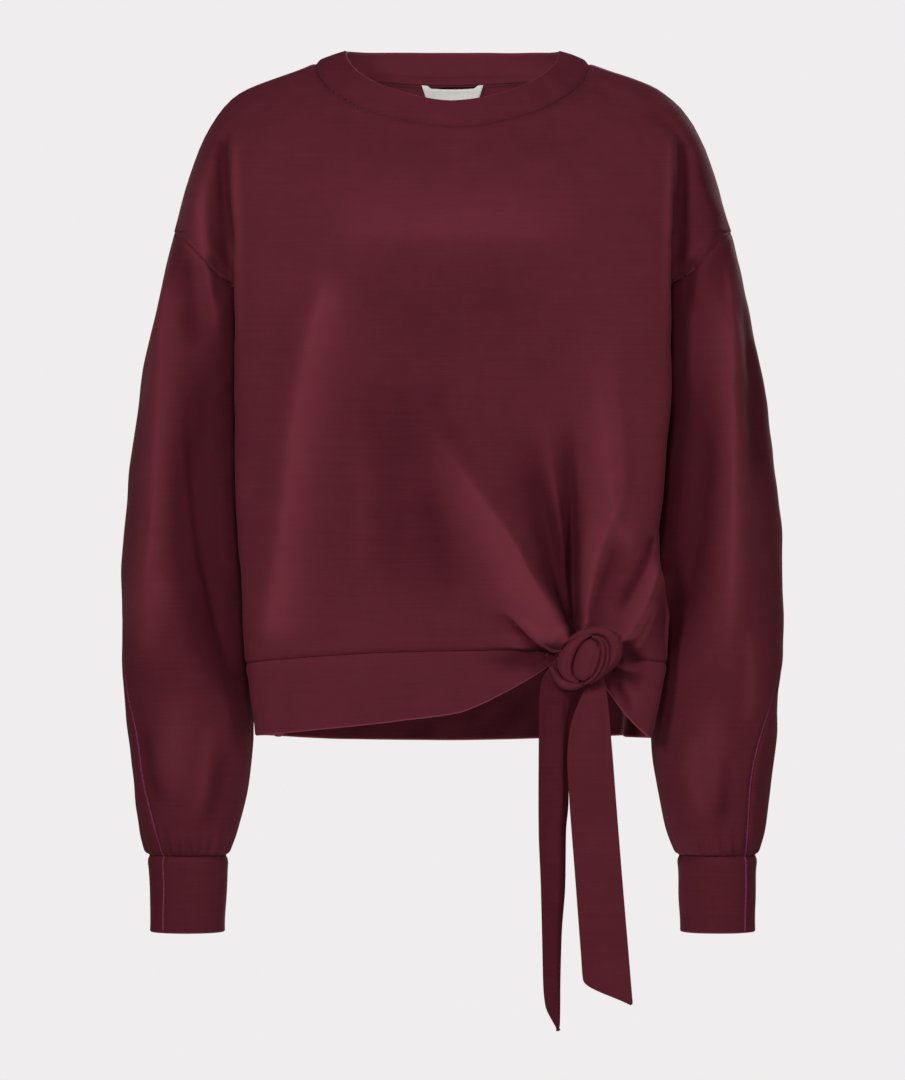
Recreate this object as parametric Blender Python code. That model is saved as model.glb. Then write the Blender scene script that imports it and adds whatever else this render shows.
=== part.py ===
"""A cropped jersey sweater with a crew collar, dropped shoulders, two-piece sleeves and a hem band
that ends in two ties, knotted at the front.

It keeps the hollow form of a worn garment. Lengths are in millimetres until a solid is made. The
origin is the middle of the neck, level with the points where shoulders and collar meet; +Z is up and
the front faces -Y. Every cloth piece is a wall between an outer grid of points and an inner one.
Rows of a grid run down the garment, and its columns run round it, anticlockwise seen from above.
"""

import bpy
import numpy as np
from mathutils import Euler, Vector

MM = 0.001

# ---------------------------------------------------------------- driving sizes

WALL = 2.0  # one layer of brushed jersey
BAND_WALL = 2.8  # collar, cuffs and hem bands are folded double
BAND_PROUD = 0.4  # how far a folded band stands out past the seam
TIE_WALL = 2.8
LABEL_WALL = 0.8
SEAM_GAP = 0.36  # between the cut edges of two pieces
SHARPEST_BEND = 0.45  # cosine at which a bend's longer step stops growing

NECK_HALF_WIDTH = 109.0  # neck seam
NECK_FRONT_Y = -78.0
NECK_FRONT_Z = -55.0
NECK_SIDE_Y = -6.0
NECK_BACK_Y = 54.0
NECK_BACK_Z = -12.0
COLLAR_HALF_WIDTH = 86.0  # the collar's free edge
COLLAR_FRONT_Y = -69.0
COLLAR_FRONT_Z = -35.0
COLLAR_SIDE_Y = -3.0
COLLAR_SIDE_Z = 9.5
COLLAR_BACK_Y = 47.0
COLLAR_BACK_Z = 11.5
COLLAR_CROWN = 1.6  # how far the collar's middle stands out
COLLAR_ROWS = 3

SHOULDER_ROW = 6  # row that ends at the top of the armhole
UNDERARM_ROW = 18
HEM_ROW = 31  # row that ends at the hem band's seam

BAND_ROWS = 3
KNOT_FROM = 88.0  # the hem band's two front ends meet behind the knot, between these X
KNOT_TO = 121.0

CUFF_DEPTH = 59.0
CUFF_ROWS = 3
SLEEVE_ROWS = 17

# ---------------------------------------------------------------- colours

BURGUNDY = (0.060, 0.010, 0.016, 1.0)
LABEL_WHITE = (0.78, 0.75, 0.70, 1.0)

# ---------------------------------------------------------------- body sections

# A row of a body panel goes from the middle (centre) over the chest (mid) to the fold beside the arm
# (edge), back behind it (tuck), over the arm, and ends at the panel's seam.
BODY_COLUMNS = (
    "row centre_z centre_y mid_x mid_y edge_x edge_y tuck_x tuck_y arm_x arm_y".split()
)
FRONT_SECTIONS = (
    (2, -80, -96, 64, -88, 116, -60, 127, -47, 138, -29),
    (3, -92, -103, 78, -96, 150, -62, 157, -50, 165, -31),
    (4, -104, -109, 84, -102, 170, -66, 176, -54, 186, -37),
    (5, -116, -114, 86, -107, 173, -73, 175, -62, 197, -53),
    (6, -128, -118, 87, -111, 173, -78, 171, -65, 205, -62),
    (8, -148, -121, 88, -114, 172, -81, 167, -64, 198, -65),
    (10, -167, -122, 88, -115, 172, -83, 165, -63, 187, -66),
    (12, -186, -122, 88, -115, 171, -84, 162, -62, 176, -59),
    (14, -206, -121, 88, -114, 171, -84, 159, -61, 165, -52),
    (16, -226, -120, 88, -113, 171, -84, 156, -60, 153, -43),
    (18, -245, -119, 88, -112, 171, -83, 153, -58, 147, -30),
    (22, -312, -116, 88, -109, 171, -82, 151, -57, 144, -28),
    (26, -385, -112, 87, -106, 168, -80, 150, -55, 144, -27),
    (31, -468, -109, 84, -103, 162, -77, 149, -53, 144, -25),
)
BACK_SECTIONS = (
    (2, -30, 72, 64, 66, 116, 45, 127, 36, 138, 22),
    (3, -45, 81, 78, 76, 148, 52, 157, 41, 165, 24),
    (4, -62, 90, 84, 85, 168, 62, 176, 50, 186, 37),
    (5, -82, 97, 86, 93, 171, 72, 178, 60, 198, 54),
    (6, -102, 103, 87, 99, 171, 79, 174, 66, 206, 65),
    (8, -128, 108, 88, 104, 170, 84, 170, 71, 199, 67),
    (10, -152, 110, 88, 106, 169, 85, 167, 69, 188, 67),
    (12, -176, 111, 88, 107, 168, 85, 164, 67, 177, 63),
    (14, -200, 111, 88, 106, 168, 84, 161, 64, 166, 55),
    (16, -223, 110, 88, 105, 168, 83, 157, 61, 153, 44),
    (18, -245, 109, 88, 104, 168, 82, 153, 58, 147, 30),
    (22, -312, 106, 88, 101, 167, 80, 151, 56, 144, 28),
    (26, -385, 103, 87, 98, 164, 78, 150, 54, 144, 27),
    (31, -476, 100, 84, 95, 158, 74, 148, 50, 144, 25),
)
HOLLOW_SHARE = 0.2  # the hollow of the arm fold lies this far from tuck to arm
HOLLOW_DEPTH = 6.0  # and this much deeper than the tuck
HEIGHT_SHARES = (0.0, 0.15, 0.55, 0.68, 0.74, 0.87, 1.0)  # how much of the seam's height each takes
NECK_ANGLES = (0.0, 31.0, 54.0, 62.0, 67.0, 76.0, 90.0)  # the same points on the neck seam
# grid columns at which those points stand, from the left seam to the right one
FRONT_PLACES = (0, 3, 5, 6, 8, 13, 18, 25, 32, 34, 35, 37, 40)
BACK_PLACES = (0, 3, 5, 6, 8, 11, 14, 17, 20, 22, 23, 25, 28)

SEAM_COLUMNS = "row x y z".split()
SHOULDER_SEAM = (
    (0, NECK_HALF_WIDTH, NECK_SIDE_Y, 0),
    (2, 144, -8, -13),
    (3, 170, -6, -25),
    (4, 193, -1, -50),
    (5, 210, 4, -90),
    (6, 223, 8, -134),
)
SIDE_SEAM = (
    (18, 149, 0, -213),
    (19.5, 145, 0, -240),
    (22, 143, 0, -300),
    (31, 143, 0, -488),
)
ARMHOLE_COLUMNS = "row front_x front_y back_x back_y z".split()
ARMHOLE_SEAM = (
    (6, 223, 8, 223, 8, -134),
    (7.5, 219, -37, 220, 42, -139),
    (9, 209, -58, 210, 62, -147),
    (11, 197, -65, 198, 68, -160),
    (13, 184, -63, 186, 66, -172),
    (15, 168, -49, 170, 53, -184),
    (16.5, 156, -26, 157, 28, -200),
    (18, 149, 0, 149, 0, -213),
)
# how far the folds beside the two arms stand from the sections, towards +X
EDGE_COLUMNS = "z left right".split()
EDGE_SHIFT = (
    (-60, 0, 0), (-150, 3, 0), (-260, 3, 0), (-335, 3, -5), (-372, 3, -7), (-402, 4, -3),
    (-440, 4, 4), (-490, 4.5, 6),
)

# ---------------------------------------------------------------- sleeve sections

SLEEVE_COLUMNS = "row z outer inner middle_y half_depth seam_left seam_right".split()
SLEEVE_SECTIONS = (
    (4, -236, 245, 155, -1, 71, 7, 7),
    (6, -282, 252, 157, -5, 69, 6, 6),
    (8, -341, 259, 157, -12, 65, 4, 5),
    (10, -405, 263, 158, -19, 60, 1, 4),
    (12, -469, 263, 158, -26, 55, -12, 0),
    (14, -533, 258, 158, -32, 49, -30, -43),
    (15, -575, 253, 162, -36, 46, -37, -53),
    (16, -611, 248, 170, -39, 42, -50, -52),
    (17, -631, 241, 179, -41, 32, -53, -46),
)
SLEEVE_SIDE = UNDERARM_ROW - SHOULDER_ROW  # columns from the over-arm seam to the underarm

# ---------------------------------------------------------------- hem band

HEM_COLUMNS = "x z".split()
FRONT_HEM = (
    (-170, -538), (-153, -536), (-116, -532), (-80, -528), (-44, -524), (4, -517),
    (36, -505), (60, -494), (88, -484), (100, -486), (121, -492), (137, -517), (157, -536), (170, -538),
)
BACK_HEM = ((-170, -537), (-86, -542), (0, -543), (86, -541), (170, -537))
HEM_INSET = 0.967  # the band's lower edge against its seam, seen from above

# ---------------------------------------------------------------- folds

# Each row is a fold: how far it stands out (or in, below zero), its half width, the shares of its
# length over which its first and its last end fade away, and its line as seen from the front, (x, z).
FRONT_FOLDS = (
    (11, 16, 0.05, 0.5, ((97, -462), (82, -444), (64, -418), (27, -356), (-7, -297), (-42, -245))),
    (-8, 17, 0.1, 0.5, ((99, -440), (80, -412), (52, -366), (28, -318), (8, -285))),
    (-6, 10, 0.1, 0.4, ((86, -474), (64, -458), (45, -445), (30, -434))),
    (-6, 9, 0.1, 0.4, ((80, -470), (41, -468), (10, -462))),
    (7, 12, 0.1, 0.6, ((96, -462), (92, -400), (88, -345), (85, -290), (85, -240))),
    (-8, 12, 0.1, 0.6, ((105, -456), (105, -400), (105, -345), (104, -290))),
    (-7, 14, 0.2, 0.3, ((168, -366), (159, -389), (152, -403), (146, -418), (128, -450))),
    (6, 12, 0.2, 0.2, ((170, -402), (156, -437), (148, -453), (130, -467))),
    (8, 14, 0.1, 0.3, ((109, -450), (112, -408), (122, -372), (132, -321), (128, -268), (119, -199))),
    (5, 13, 0.3, 0.3, ((132, -321), (137, -341), (143, -366), (147, -395))),
    (5, 24, 0.3, 0.1, ((-118, -240), (-131, -304), (-136, -356), (-141, -409), (-148, -468))),
    (-4, 20, 0.3, 0.2, ((-100, -270), (-106, -340), (-108, -420), (-112, -466))),
    (-4, 26, 0.3, 0.3, ((-80, -130), (-106, -166), (-112, -205), (-104, -250))),
    (-4, 26, 0.3, 0.3, ((84, -130), (104, -166), (106, -196), (96, -240))),
    (4, 14, 0.3, 0.4, ((-196, -76), (-200, -120), (-196, -165), (-192, -201), (-180, -238))),
    (-4, 13, 0.3, 0.3, ((-210, -150), (-208, -190), (-206, -240))),
    (5, 14, 0.3, 0.2, ((-226, -160), (-229, -200), (-232, -269), (-234, -363), (-244, -427), (-255, -470))),
    (6, 14, 0.3, 0.3, ((-216, -262), (-206, -308), (-200, -356), (-192, -410), (-178, -455), (-166, -486))),
    (-7, 15, 0.3, 0.3, ((-200, -270), (-193, -320), (-187, -370), (-180, -420), (-172, -460))),
    (4, 14, 0.3, 0.3, ((200, -80), (202, -120), (206, -160))),
    (5, 14, 0.3, 0.3, ((219, -175), (221, -238), (223, -308), (222, -409), (216, -501))),
    (-8, 15, 0.4, 0.2, ((204, -250), (198, -320), (188, -382), (181, -427), (166, -488))),
    (4, 14, 0.4, 0.3, ((190, -240), (182, -300), (172, -360), (166, -420))),
    (-3, 14, 0.4, 0.4, ((238, -230), (243, -300), (244, -370))),
    (4, 16, 0.4, 0.4, ((-210, -500), (-222, -545), (-226, -590))),
    (4, 15, 0.4, 0.4, ((196, -510), (204, -550), (214, -596))),
)
BACK_FOLDS = (
    (6, 20, 0.3, 0.3, ((-128, -180), (-138, -260), (-140, -350), (-136, -440))),
    (-5, 20, 0.3, 0.3, ((-96, -220), (-104, -310), (-102, -410))),
    (6, 22, 0.3, 0.3, ((124, -190), (134, -280), (138, -370), (132, -450))),
    (-6, 22, 0.3, 0.3, ((92, -230), (98, -320), (94, -430))),
    (4, 26, 0.4, 0.3, ((-30, -300), (-18, -380), (-24, -462))),
    (-4, 24, 0.4, 0.3, ((14, -320), (28, -400), (22, -464))),
    (-4, 30, 0.4, 0.4, ((-70, -112), (0, -124), (70, -112))),
    (5, 14, 0.3, 0.3, ((-212, -150), (-208, -190), (-214, -270), (-220, -350))),
    (-6, 15, 0.3, 0.3, ((-196, -210), (-198, -300), (-194, -380), (-184, -450))),
    (5, 14, 0.3, 0.3, ((213, -150), (209, -200), (216, -290), (220, -380), (214, -460))),
    (-6, 15, 0.3, 0.3, ((196, -220), (196, -310), (190, -400), (180, -470))),
)
FOLD_DIRECTION = (0.4, 1.0, 0.4)  # folds move the cloth mostly forward or back
KNOT_PINCH = 6.0  # how far the cloth is drawn back where it enters the knot
KNOT_PINCH_WIDTH = 22.0

# ---------------------------------------------------------------- knot and ties

KNOT_X = 105.3
KNOT_Z = -473.0
KNOT_TILT = 17.0  # degrees, its top towards the right arm
KNOT_CORE_RADII = (10.2, 9.0, 16.5)
KNOT_CORE_Y = -117.0
KNOT_LOOP_Y = -112.5
LOOP_COLUMNS = "x z across through".split()
KNOT_WRAP = (
    (99, -453, 3.4, 3.0), (107, -451, 4.2, 6.2), (117, -451.5, 5.8, 7.8), (124.0, -458.5, 7.2, 7.8),
    (124.4, -469, 7.2, 7.6), (120.2, -479, 6.4, 6.6), (114.4, -488, 4.4, 5.2),
)
KNOT_TAIL = (
    (94.0, -459.5, 3.8, 5.6), (88.8, -467, 6.0, 8.0), (86.3, -477, 7.6, 6.4), (89.0, -489, 7.6, 6.2),
    (97, -494.5, 5.4, 5.4),
)
TIE_COLUMNS = "z left right".split()
TIE_LEFT_Y = (-104.6, -106.0)  # at the knot, at the tip
TIE_LEFT = (
    (-480, 83, 99), (-501, 74, 97), (-520, 69, 92), (-583, 68.5, 92.5), (-610, 68.5, 90.5), (-685, 70, 85.5),
    (-731, 71, 84.5), (-745, 72, 84.5), (-765, 79, 84),
)
TIE_RIGHT_Y = (-105.0, -111.0)
TIE_RIGHT = (
    (-480, 109, 122), (-496, 107, 122), (-506, 103, 124), (-524, 97, 126), (-542, 94.5, 127.5), (-583, 95, 130.5),
    (-644, 98, 135.5), (-703, 102.5, 140.5), (-722, 104, 142.5), (-743, 134, 144),
)
TIE_DROOP = 0.07  # how far a tie's middle bows forward, as a share of its width

# ---------------------------------------------------------------- label

LABEL_HALF_WIDTH = 25.0
LABEL_DROP = 31.0
LABEL_TOP_Z = -17.0
LABEL_CLEARANCE = 0.5  # between the label and the cloth behind it


def clear_scene():
    """Removes every object that the file started with."""
    for found in list(bpy.data.objects):
        bpy.data.objects.remove(found, do_unlink=True)


def columns_of(names, rows):
    """A short table as one array for each named column."""
    return {name: np.array([row[place] for row in rows], float) for place, name in enumerate(names)}


def smooth_through(places, values, wanted, rounded=False):
    """A cubic curve through values at places, read at the wanted places.

    It never swings past a value, or where it is rounded turns evenly at each one."""
    places = np.asarray(places, float)
    values = np.asarray(values, float)
    wanted = np.asarray(wanted, float)
    widen = (-1,) + (1,) * (values.ndim - 1)
    steps = np.diff(places).reshape(widen)
    slopes = np.diff(values, axis=0) / steps
    before, after = slopes[:-1], slopes[1:]
    near, far = 2 * steps[1:] + steps[:-1], steps[1:] + 2 * steps[:-1]
    same_way = before * after > 0
    safe_before = np.where(same_way, before, 1.0)
    safe_after = np.where(same_way, after, 1.0)
    between = np.where(same_way, (near + far) / (near / safe_before + far / safe_after), 0.0)
    if rounded:
        between = (before * steps[1:] + after * steps[:-1]) / (steps[1:] + steps[:-1])
    tangents = np.concatenate([slopes[:1], between, slopes[-1:]])
    span = np.clip(np.searchsorted(places, wanted, side="right") - 1, 0, len(places) - 2)
    length = (places[span + 1] - places[span]).reshape(widen)
    share = ((wanted - places[span]) / (places[span + 1] - places[span])).reshape(widen)
    square, cube = share**2, share**3
    return (
        (2 * cube - 3 * square + 1) * values[span]
        + (cube - 2 * square + share) * length * tangents[span]
        + (3 * square - 2 * cube) * values[span + 1]
        + (cube - square) * length * tangents[span + 1]
    )


def smooth_step(value):
    """0 below 0, 1 above 1 and a soft rise between."""
    value = np.clip(value, 0.0, 1.0)
    return value * value * (3 - 2 * value)


def unit(vectors):
    """The vectors at length 1."""
    return vectors / np.maximum(np.linalg.norm(vectors, axis=-1, keepdims=True), 1e-9)


# ---------------------------------------------------------------- outer surfaces


def neck_point(degrees, centre_y, centre_z, side_y, side_z, half_width):
    """A point of the neck's line, 0 degrees at the middle and 90 at the shoulder."""
    angle = np.radians(degrees)
    rise = (1 - np.cos(angle)) ** 0.85
    return np.stack(
        [
            half_width * np.sin(angle),
            side_y + (centre_y - side_y) * np.cos(angle),
            centre_z + (side_z - centre_z) * rise,
        ],
        axis=-1,
    )


def panel_end(rows, front):
    """Where a panel ends at each row, on the right: shoulder seam, armhole, then side seam."""
    shoulder = columns_of(SEAM_COLUMNS, SHOULDER_SEAM)
    side = columns_of(SEAM_COLUMNS, SIDE_SEAM)
    hole = columns_of(ARMHOLE_COLUMNS, ARMHOLE_SEAM)
    face = "front" if front else "back"
    parts = (
        (shoulder, ("x", "y", "z"), rows <= SHOULDER_ROW),
        (hole, (face + "_x", face + "_y", "z"), (rows > SHOULDER_ROW) & (rows < UNDERARM_ROW)),
        (side, ("x", "y", "z"), rows >= UNDERARM_ROW),
    )
    ends = np.zeros((len(rows), 3))
    for table, names, chosen in parts:
        points = np.stack([table[name] for name in names], axis=-1)
        ends[chosen] = smooth_through(table["row"], points, rows[chosen])
    return ends


def half_sections(front):
    """The named points of each row of the front or the back, from the middle to the right seam."""
    table = columns_of(BODY_COLUMNS, FRONT_SECTIONS if front else BACK_SECTIONS)
    table["centre_x"] = np.zeros(len(table["row"]))
    reach = table["arm_x"] - table["tuck_x"]
    table["hollow_x"] = table["tuck_x"] + HOLLOW_SHARE * reach
    table["hollow_y"] = table["tuck_y"] + (HOLLOW_DEPTH if front else -HOLLOW_DEPTH)
    names = ("centre", "mid", "edge", "tuck", "hollow", "arm")
    place = np.stack(
        [np.stack([table[name + axis] for name in names], 1) for axis in ("_x", "_y")], axis=-1
    )
    centre_y, centre_z = (NECK_FRONT_Y, NECK_FRONT_Z) if front else (NECK_BACK_Y, NECK_BACK_Z)
    neck = neck_point(
        np.array(NECK_ANGLES), centre_y, centre_z, NECK_SIDE_Y, 0.0, NECK_HALF_WIDTH
    )
    rows = np.arange(HEM_ROW + 1.0)
    at = np.concatenate([[0.0], table["row"]])
    count = len(names)
    plan = smooth_through(at, np.concatenate([neck[None, :count, :2], place]), rows)
    centre = smooth_through(at, np.concatenate([[centre_z], table["centre_z"]]), rows)
    ends = panel_end(rows, front)
    half = np.zeros((len(rows), count + 1, 3))
    half[:, :count, :2] = plan
    half[:, count, :2] = ends[:, :2]
    half[:, :, 2] = centre[:, None] + (ends[:, 2] - centre)[:, None] * np.array(HEIGHT_SHARES)
    half[0, :, 2] = neck[:, 2]
    return half


def body_panel(front):
    """The outer points of the front or the back, row by row from its left seam to its right one."""
    half, other = half_sections(front), half_sections(not front)
    beyond = other[:, -2:-1].copy()
    hole = np.s_[SHOULDER_ROW + 1 : UNDERARM_ROW]
    beyond[hole] = (2 * half[:, -1:] - half[:, -2:-1])[hole]
    half = np.concatenate([half, beyond], axis=1)
    left = half[:, :0:-1] * (-1, 1, 1)
    right = half.copy()
    shift = columns_of(EDGE_COLUMNS, EDGE_SHIFT)
    left[:, -3, 0] += np.interp(-left[:, -3, 2], -shift["z"], shift["left"])
    right[:, 2, 0] += np.interp(-right[:, 2, 2], -shift["z"], shift["right"])
    controls = np.concatenate([left, right], axis=1)
    places = FRONT_PLACES if front else BACK_PLACES
    first, last = places[1], places[-1]
    places = (-first,) + places + (last + first,)
    grid = smooth_through(places, controls.transpose(1, 0, 2), np.arange(last + 1.0), True)
    grid = grid.transpose(1, 0, 2)
    return grid if front else grid[:, ::-1]


def sleeve_rings(armhole, right):
    """The outer points of a right-hand sleeve, ring by ring from its armhole to the cuff's seam."""
    table = columns_of(SLEEVE_COLUMNS, SLEEVE_SECTIONS)
    seam = table["seam_right" if right else "seam_left"][:, None]
    share = np.arange(SLEEVE_SIDE + 1) / SLEEVE_SIDE
    behind = seam + (180 - seam) * share
    before = 180 + (180 + seam) * share[1:]
    angle = np.radians(np.concatenate([behind, before], axis=1))
    middle = (table["outer"] + table["inner"])[:, None] / 2
    half_width = (table["outer"] - table["inner"])[:, None] / 2
    rings = np.stack(
        [
            middle + half_width * np.cos(angle),
            table["middle_y"][:, None] + table["half_depth"][:, None] * np.sin(angle),
            np.broadcast_to(table["z"][:, None], angle.shape),
        ],
        axis=-1,
    )
    at = np.concatenate([[0.0], table["row"]])
    return smooth_through(at, np.concatenate([armhole[None], rings]), np.arange(SLEEVE_ROWS + 1.0))


def cuff_rings(top):
    """The outer points of a cuff under the sleeve's last ring."""
    down = np.linspace(0, 1, CUFF_ROWS + 1)[:, None, None]
    middle = top.mean(0)
    waist = 1 - 0.045 * np.sin(np.pi * down / 2)
    rings = middle + (top - middle) * waist
    rings[:, :, 2] = top[:, 2] - CUFF_DEPTH * down[:, :, 0]
    return rings


def collar_rings(seam, front_count):
    """The outer points of the collar from its free edge down to the neck seam."""
    across = seam[:, 0] / NECK_HALF_WIDTH
    degrees = np.degrees(np.arcsin(np.clip(across, -1, 1)))
    ahead = neck_point(
        degrees, COLLAR_FRONT_Y, COLLAR_FRONT_Z, COLLAR_SIDE_Y, COLLAR_SIDE_Z, COLLAR_HALF_WIDTH
    )
    behind = neck_point(
        degrees, COLLAR_BACK_Y, COLLAR_BACK_Z, COLLAR_SIDE_Y, COLLAR_SIDE_Z, COLLAR_HALF_WIDTH
    )
    in_front = np.arange(len(seam)) < front_count
    free = np.where(in_front[:, None], ahead, behind)
    down = np.linspace(0, 1, COLLAR_ROWS + 1)[:, None, None]
    rings = free + (seam - free) * down
    away = unit(seam * (1, 1, 0)) + (0, 0, 0.6)
    return rings + away * COLLAR_CROWN * np.sin(np.pi * down)


def turned_in(across):
    """The places across a seam, with the cloth that turns in behind a side fold kept at the fold."""
    order = 1 if across[0] < across[-1] else -1
    across = across[::order]
    right = np.maximum.accumulate(np.maximum(across, 0))
    left = np.minimum.accumulate(np.minimum(across, 0)[::-1])[::-1]
    return (right + left)[::order]


def band_rows(seam, hem_table):
    """The outer points of a stretch of hem band under its seam."""
    hem = columns_of(HEM_COLUMNS, hem_table)
    foot = seam * (HEM_INSET, HEM_INSET, 1)
    foot[:, 2] = np.interp(turned_in(foot[:, 0]), hem["x"], hem["z"])
    down = np.linspace(0, 1, BAND_ROWS + 1)[:, None, None]
    return seam + (foot - seam) * down


def fold_field(folds, points):
    """How far the folds move each point out, by its place seen from the front."""
    flat = points[..., (0, 2)].reshape(-1, 2)
    total = np.zeros(len(flat))
    for lift, width, fade_in, fade_out, line in folds:
        line = np.array(line, float)
        corners = np.arange(len(line))
        fine = smooth_through(corners, line, np.linspace(0, corners[-1], 6 * len(line)))
        start, step = fine[:-1], np.diff(fine, axis=0)
        along = np.einsum("psk,sk->ps", flat[:, None] - start, step) / (step**2).sum(1)
        along = np.clip(along, 0, 1)
        apart = np.linalg.norm(flat[:, None] - start - along[..., None] * step, axis=-1)
        nearest = apart.argmin(1)
        picked = np.arange(len(flat))
        share = (nearest + along[picked, nearest]) / len(step)
        fade = smooth_step(share / fade_in) * smooth_step((1 - share) / fade_out)
        total += lift * fade * np.exp(-((apart[picked, nearest] / width) ** 2))
    return total.reshape(points.shape[:-1])


def knot_pinch(points):
    """How far the knot draws each point of the front back."""
    apart = np.hypot(points[..., 0] - KNOT_X, points[..., 2] - KNOT_Z)
    return -KNOT_PINCH * np.exp(-((apart / KNOT_PINCH_WIDTH) ** 2))


def shared_normals(patches):
    """Outward steps of one wall's thickness at every point, one for all patches that share it.

    At a sharp bend the step is longer, so that both walls beside it keep their thickness."""
    sums = {}
    flattest = {}
    keys = {}
    faces = {}
    for name, (grid, closed) in patches.items():
        wide = np.concatenate([grid, grid[:, :1]], axis=1) if closed else grid
        down, over = np.diff(wide, axis=0), np.diff(wide, axis=1)
        normals = np.zeros_like(wide)
        pieces = (
            (np.s_[:-1, :-1], down[:, :-1], over[:-1]),
            (np.s_[1:, :-1], down[:, :-1], over[1:]),
            (np.s_[:-1, 1:], down[:, 1:], over[:-1]),
            (np.s_[1:, 1:], down[:, 1:], over[1:]),
        )
        faces[name] = []
        for corner, downward, sideways in pieces:
            facing = np.zeros_like(wide)
            facing[corner] = np.cross(downward, sideways)
            normals += facing
            faces[name].append(unit(facing))
        if closed:
            normals[:, 0] += normals[:, -1]
            normals = normals[:, :-1]
        keys[name] = [tuple(key) for key in np.round(grid.reshape(-1, 3), 2) + 0.0]
        for key, normal in zip(keys[name], unit(normals).reshape(-1, 3)):
            sums[key] = sums.get(key, 0) + normal
    shared = {
        name: unit(np.array([sums[key] for key in keys[name]]).reshape(grid.shape))
        for name, (grid, closed) in patches.items()
    }
    for name, (grid, closed) in patches.items():
        for facing in faces[name]:
            facing = facing[:, : grid.shape[1]]
            along = (facing * shared[name]).sum(-1)
            along = np.where(np.linalg.norm(facing, axis=-1) > 0, along, 1.0)
            for key, share in zip(keys[name], along.reshape(-1)):
                flattest[key] = min(flattest.get(key, 1.0), share)
    for name, (grid, closed) in patches.items():
        bend = np.array([flattest[key] for key in keys[name]]).reshape(grid.shape[:2])
        shared[name] = shared[name] / np.maximum(bend, SHARPEST_BEND)[..., None]
    return shared


def folded(patches):
    """The patches with their folds raised and sunk."""
    normals = shared_normals(patches)
    moved = {}
    for name, (grid, closed) in patches.items():
        facing = normals[name][..., 1]
        ahead = smooth_step(-facing / 0.45)
        behind = smooth_step(facing / 0.45)
        out = ahead * (fold_field(FRONT_FOLDS, grid) + knot_pinch(grid))
        out += behind * fold_field(BACK_FOLDS, grid)
        moved[name] = (grid + normals[name] * FOLD_DIRECTION * out[..., None], closed)
    return moved


# ---------------------------------------------------------------- solids


def cloth_material(name, colour, roughness):
    """A plain cloth finish."""
    material = bpy.data.materials.new(name)
    material.use_nodes = True
    shader = material.node_tree.nodes["Principled BSDF"]
    shader.inputs["Base Color"].default_value = colour
    shader.inputs["Roughness"].default_value = roughness
    shader.inputs["Metallic"].default_value = 0.0
    return material


def add_object(name, points, faces, material):
    """One solid in the scene from points in millimetres."""
    mesh = bpy.data.meshes.new(name)
    mesh.from_pydata((np.asarray(points) * MM).tolist(), [], faces)
    mesh.materials.append(material)
    mesh.shade_smooth()
    mesh.set_sharp_from_angle(angle=np.radians(50))
    made = bpy.data.objects.new(name, mesh)
    bpy.context.scene.collection.objects.link(made)
    return made


def wall_faces(outer, inner, closed):
    """The triangles of a wall between an outer grid and an inner one, with its cut edges."""
    rows, cols = outer.shape[:2]
    points = np.concatenate([outer.reshape(-1, 3), inner.reshape(-1, 3)])
    around = cols if closed else cols - 1

    def at(layer, i, j):
        return layer * rows * cols + i * cols + j % cols

    quads = []
    for i in range(rows - 1):
        for j in range(around):
            quads.append([at(0, i, j), at(0, i + 1, j), at(0, i + 1, j + 1), at(0, i, j + 1)])
            quads.append([at(1, i, j), at(1, i, j + 1), at(1, i + 1, j + 1), at(1, i + 1, j)])
    last = rows - 1
    for j in range(around):
        quads.append([at(0, 0, j), at(0, 0, j + 1), at(1, 0, j + 1), at(1, 0, j)])
        quads.append([at(0, last, j + 1), at(0, last, j), at(1, last, j), at(1, last, j + 1)])
    if not closed:
        side = cols - 1
        for i in range(last):
            quads.append([at(0, i + 1, 0), at(0, i, 0), at(1, i, 0), at(1, i + 1, 0)])
            quads.append([at(0, i, side), at(0, i + 1, side), at(1, i + 1, side), at(1, i, side)])
    faces = []
    for a, b, c, d in quads:
        if np.linalg.norm(points[a] - points[c]) <= np.linalg.norm(points[b] - points[d]):
            faces += [[a, b, c], [a, c, d]]
        else:
            faces += [[a, b, d], [b, c, d]]
    return points, faces


def seam_allowance(grid, normals, sides):
    """The step that draws each cut edge in by half a seam's gap, square to the seam."""
    step = np.zeros_like(grid)
    edges = {
        "top": (np.s_[0], np.s_[1]),
        "bottom": (np.s_[-1], np.s_[-2]),
        "left": (np.s_[:, 0], np.s_[:, 1]),
        "right": (np.s_[:, -1], np.s_[:, -2]),
    }
    for side in sides:
        edge, beside = edges[side]
        line = grid[edge]
        square = unit(np.cross(normals[edge], np.gradient(line, axis=0)))
        inward = ((grid[beside] - line) * square).sum(-1, keepdims=True)
        step[edge] += square * np.sign(inward) * SEAM_GAP / 2
    return step


def add_wall(name, grid, normals, closed, sides, material, thickness=WALL, proud=0.0):
    """A cloth piece of a given thickness on its outer points."""
    allowance = seam_allowance(grid, normals, sides)
    outer = grid + normals * proud + allowance
    inner = grid - normals * (thickness - proud) + allowance
    return add_object(name, *wall_faces(outer, inner, closed), material)


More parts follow.
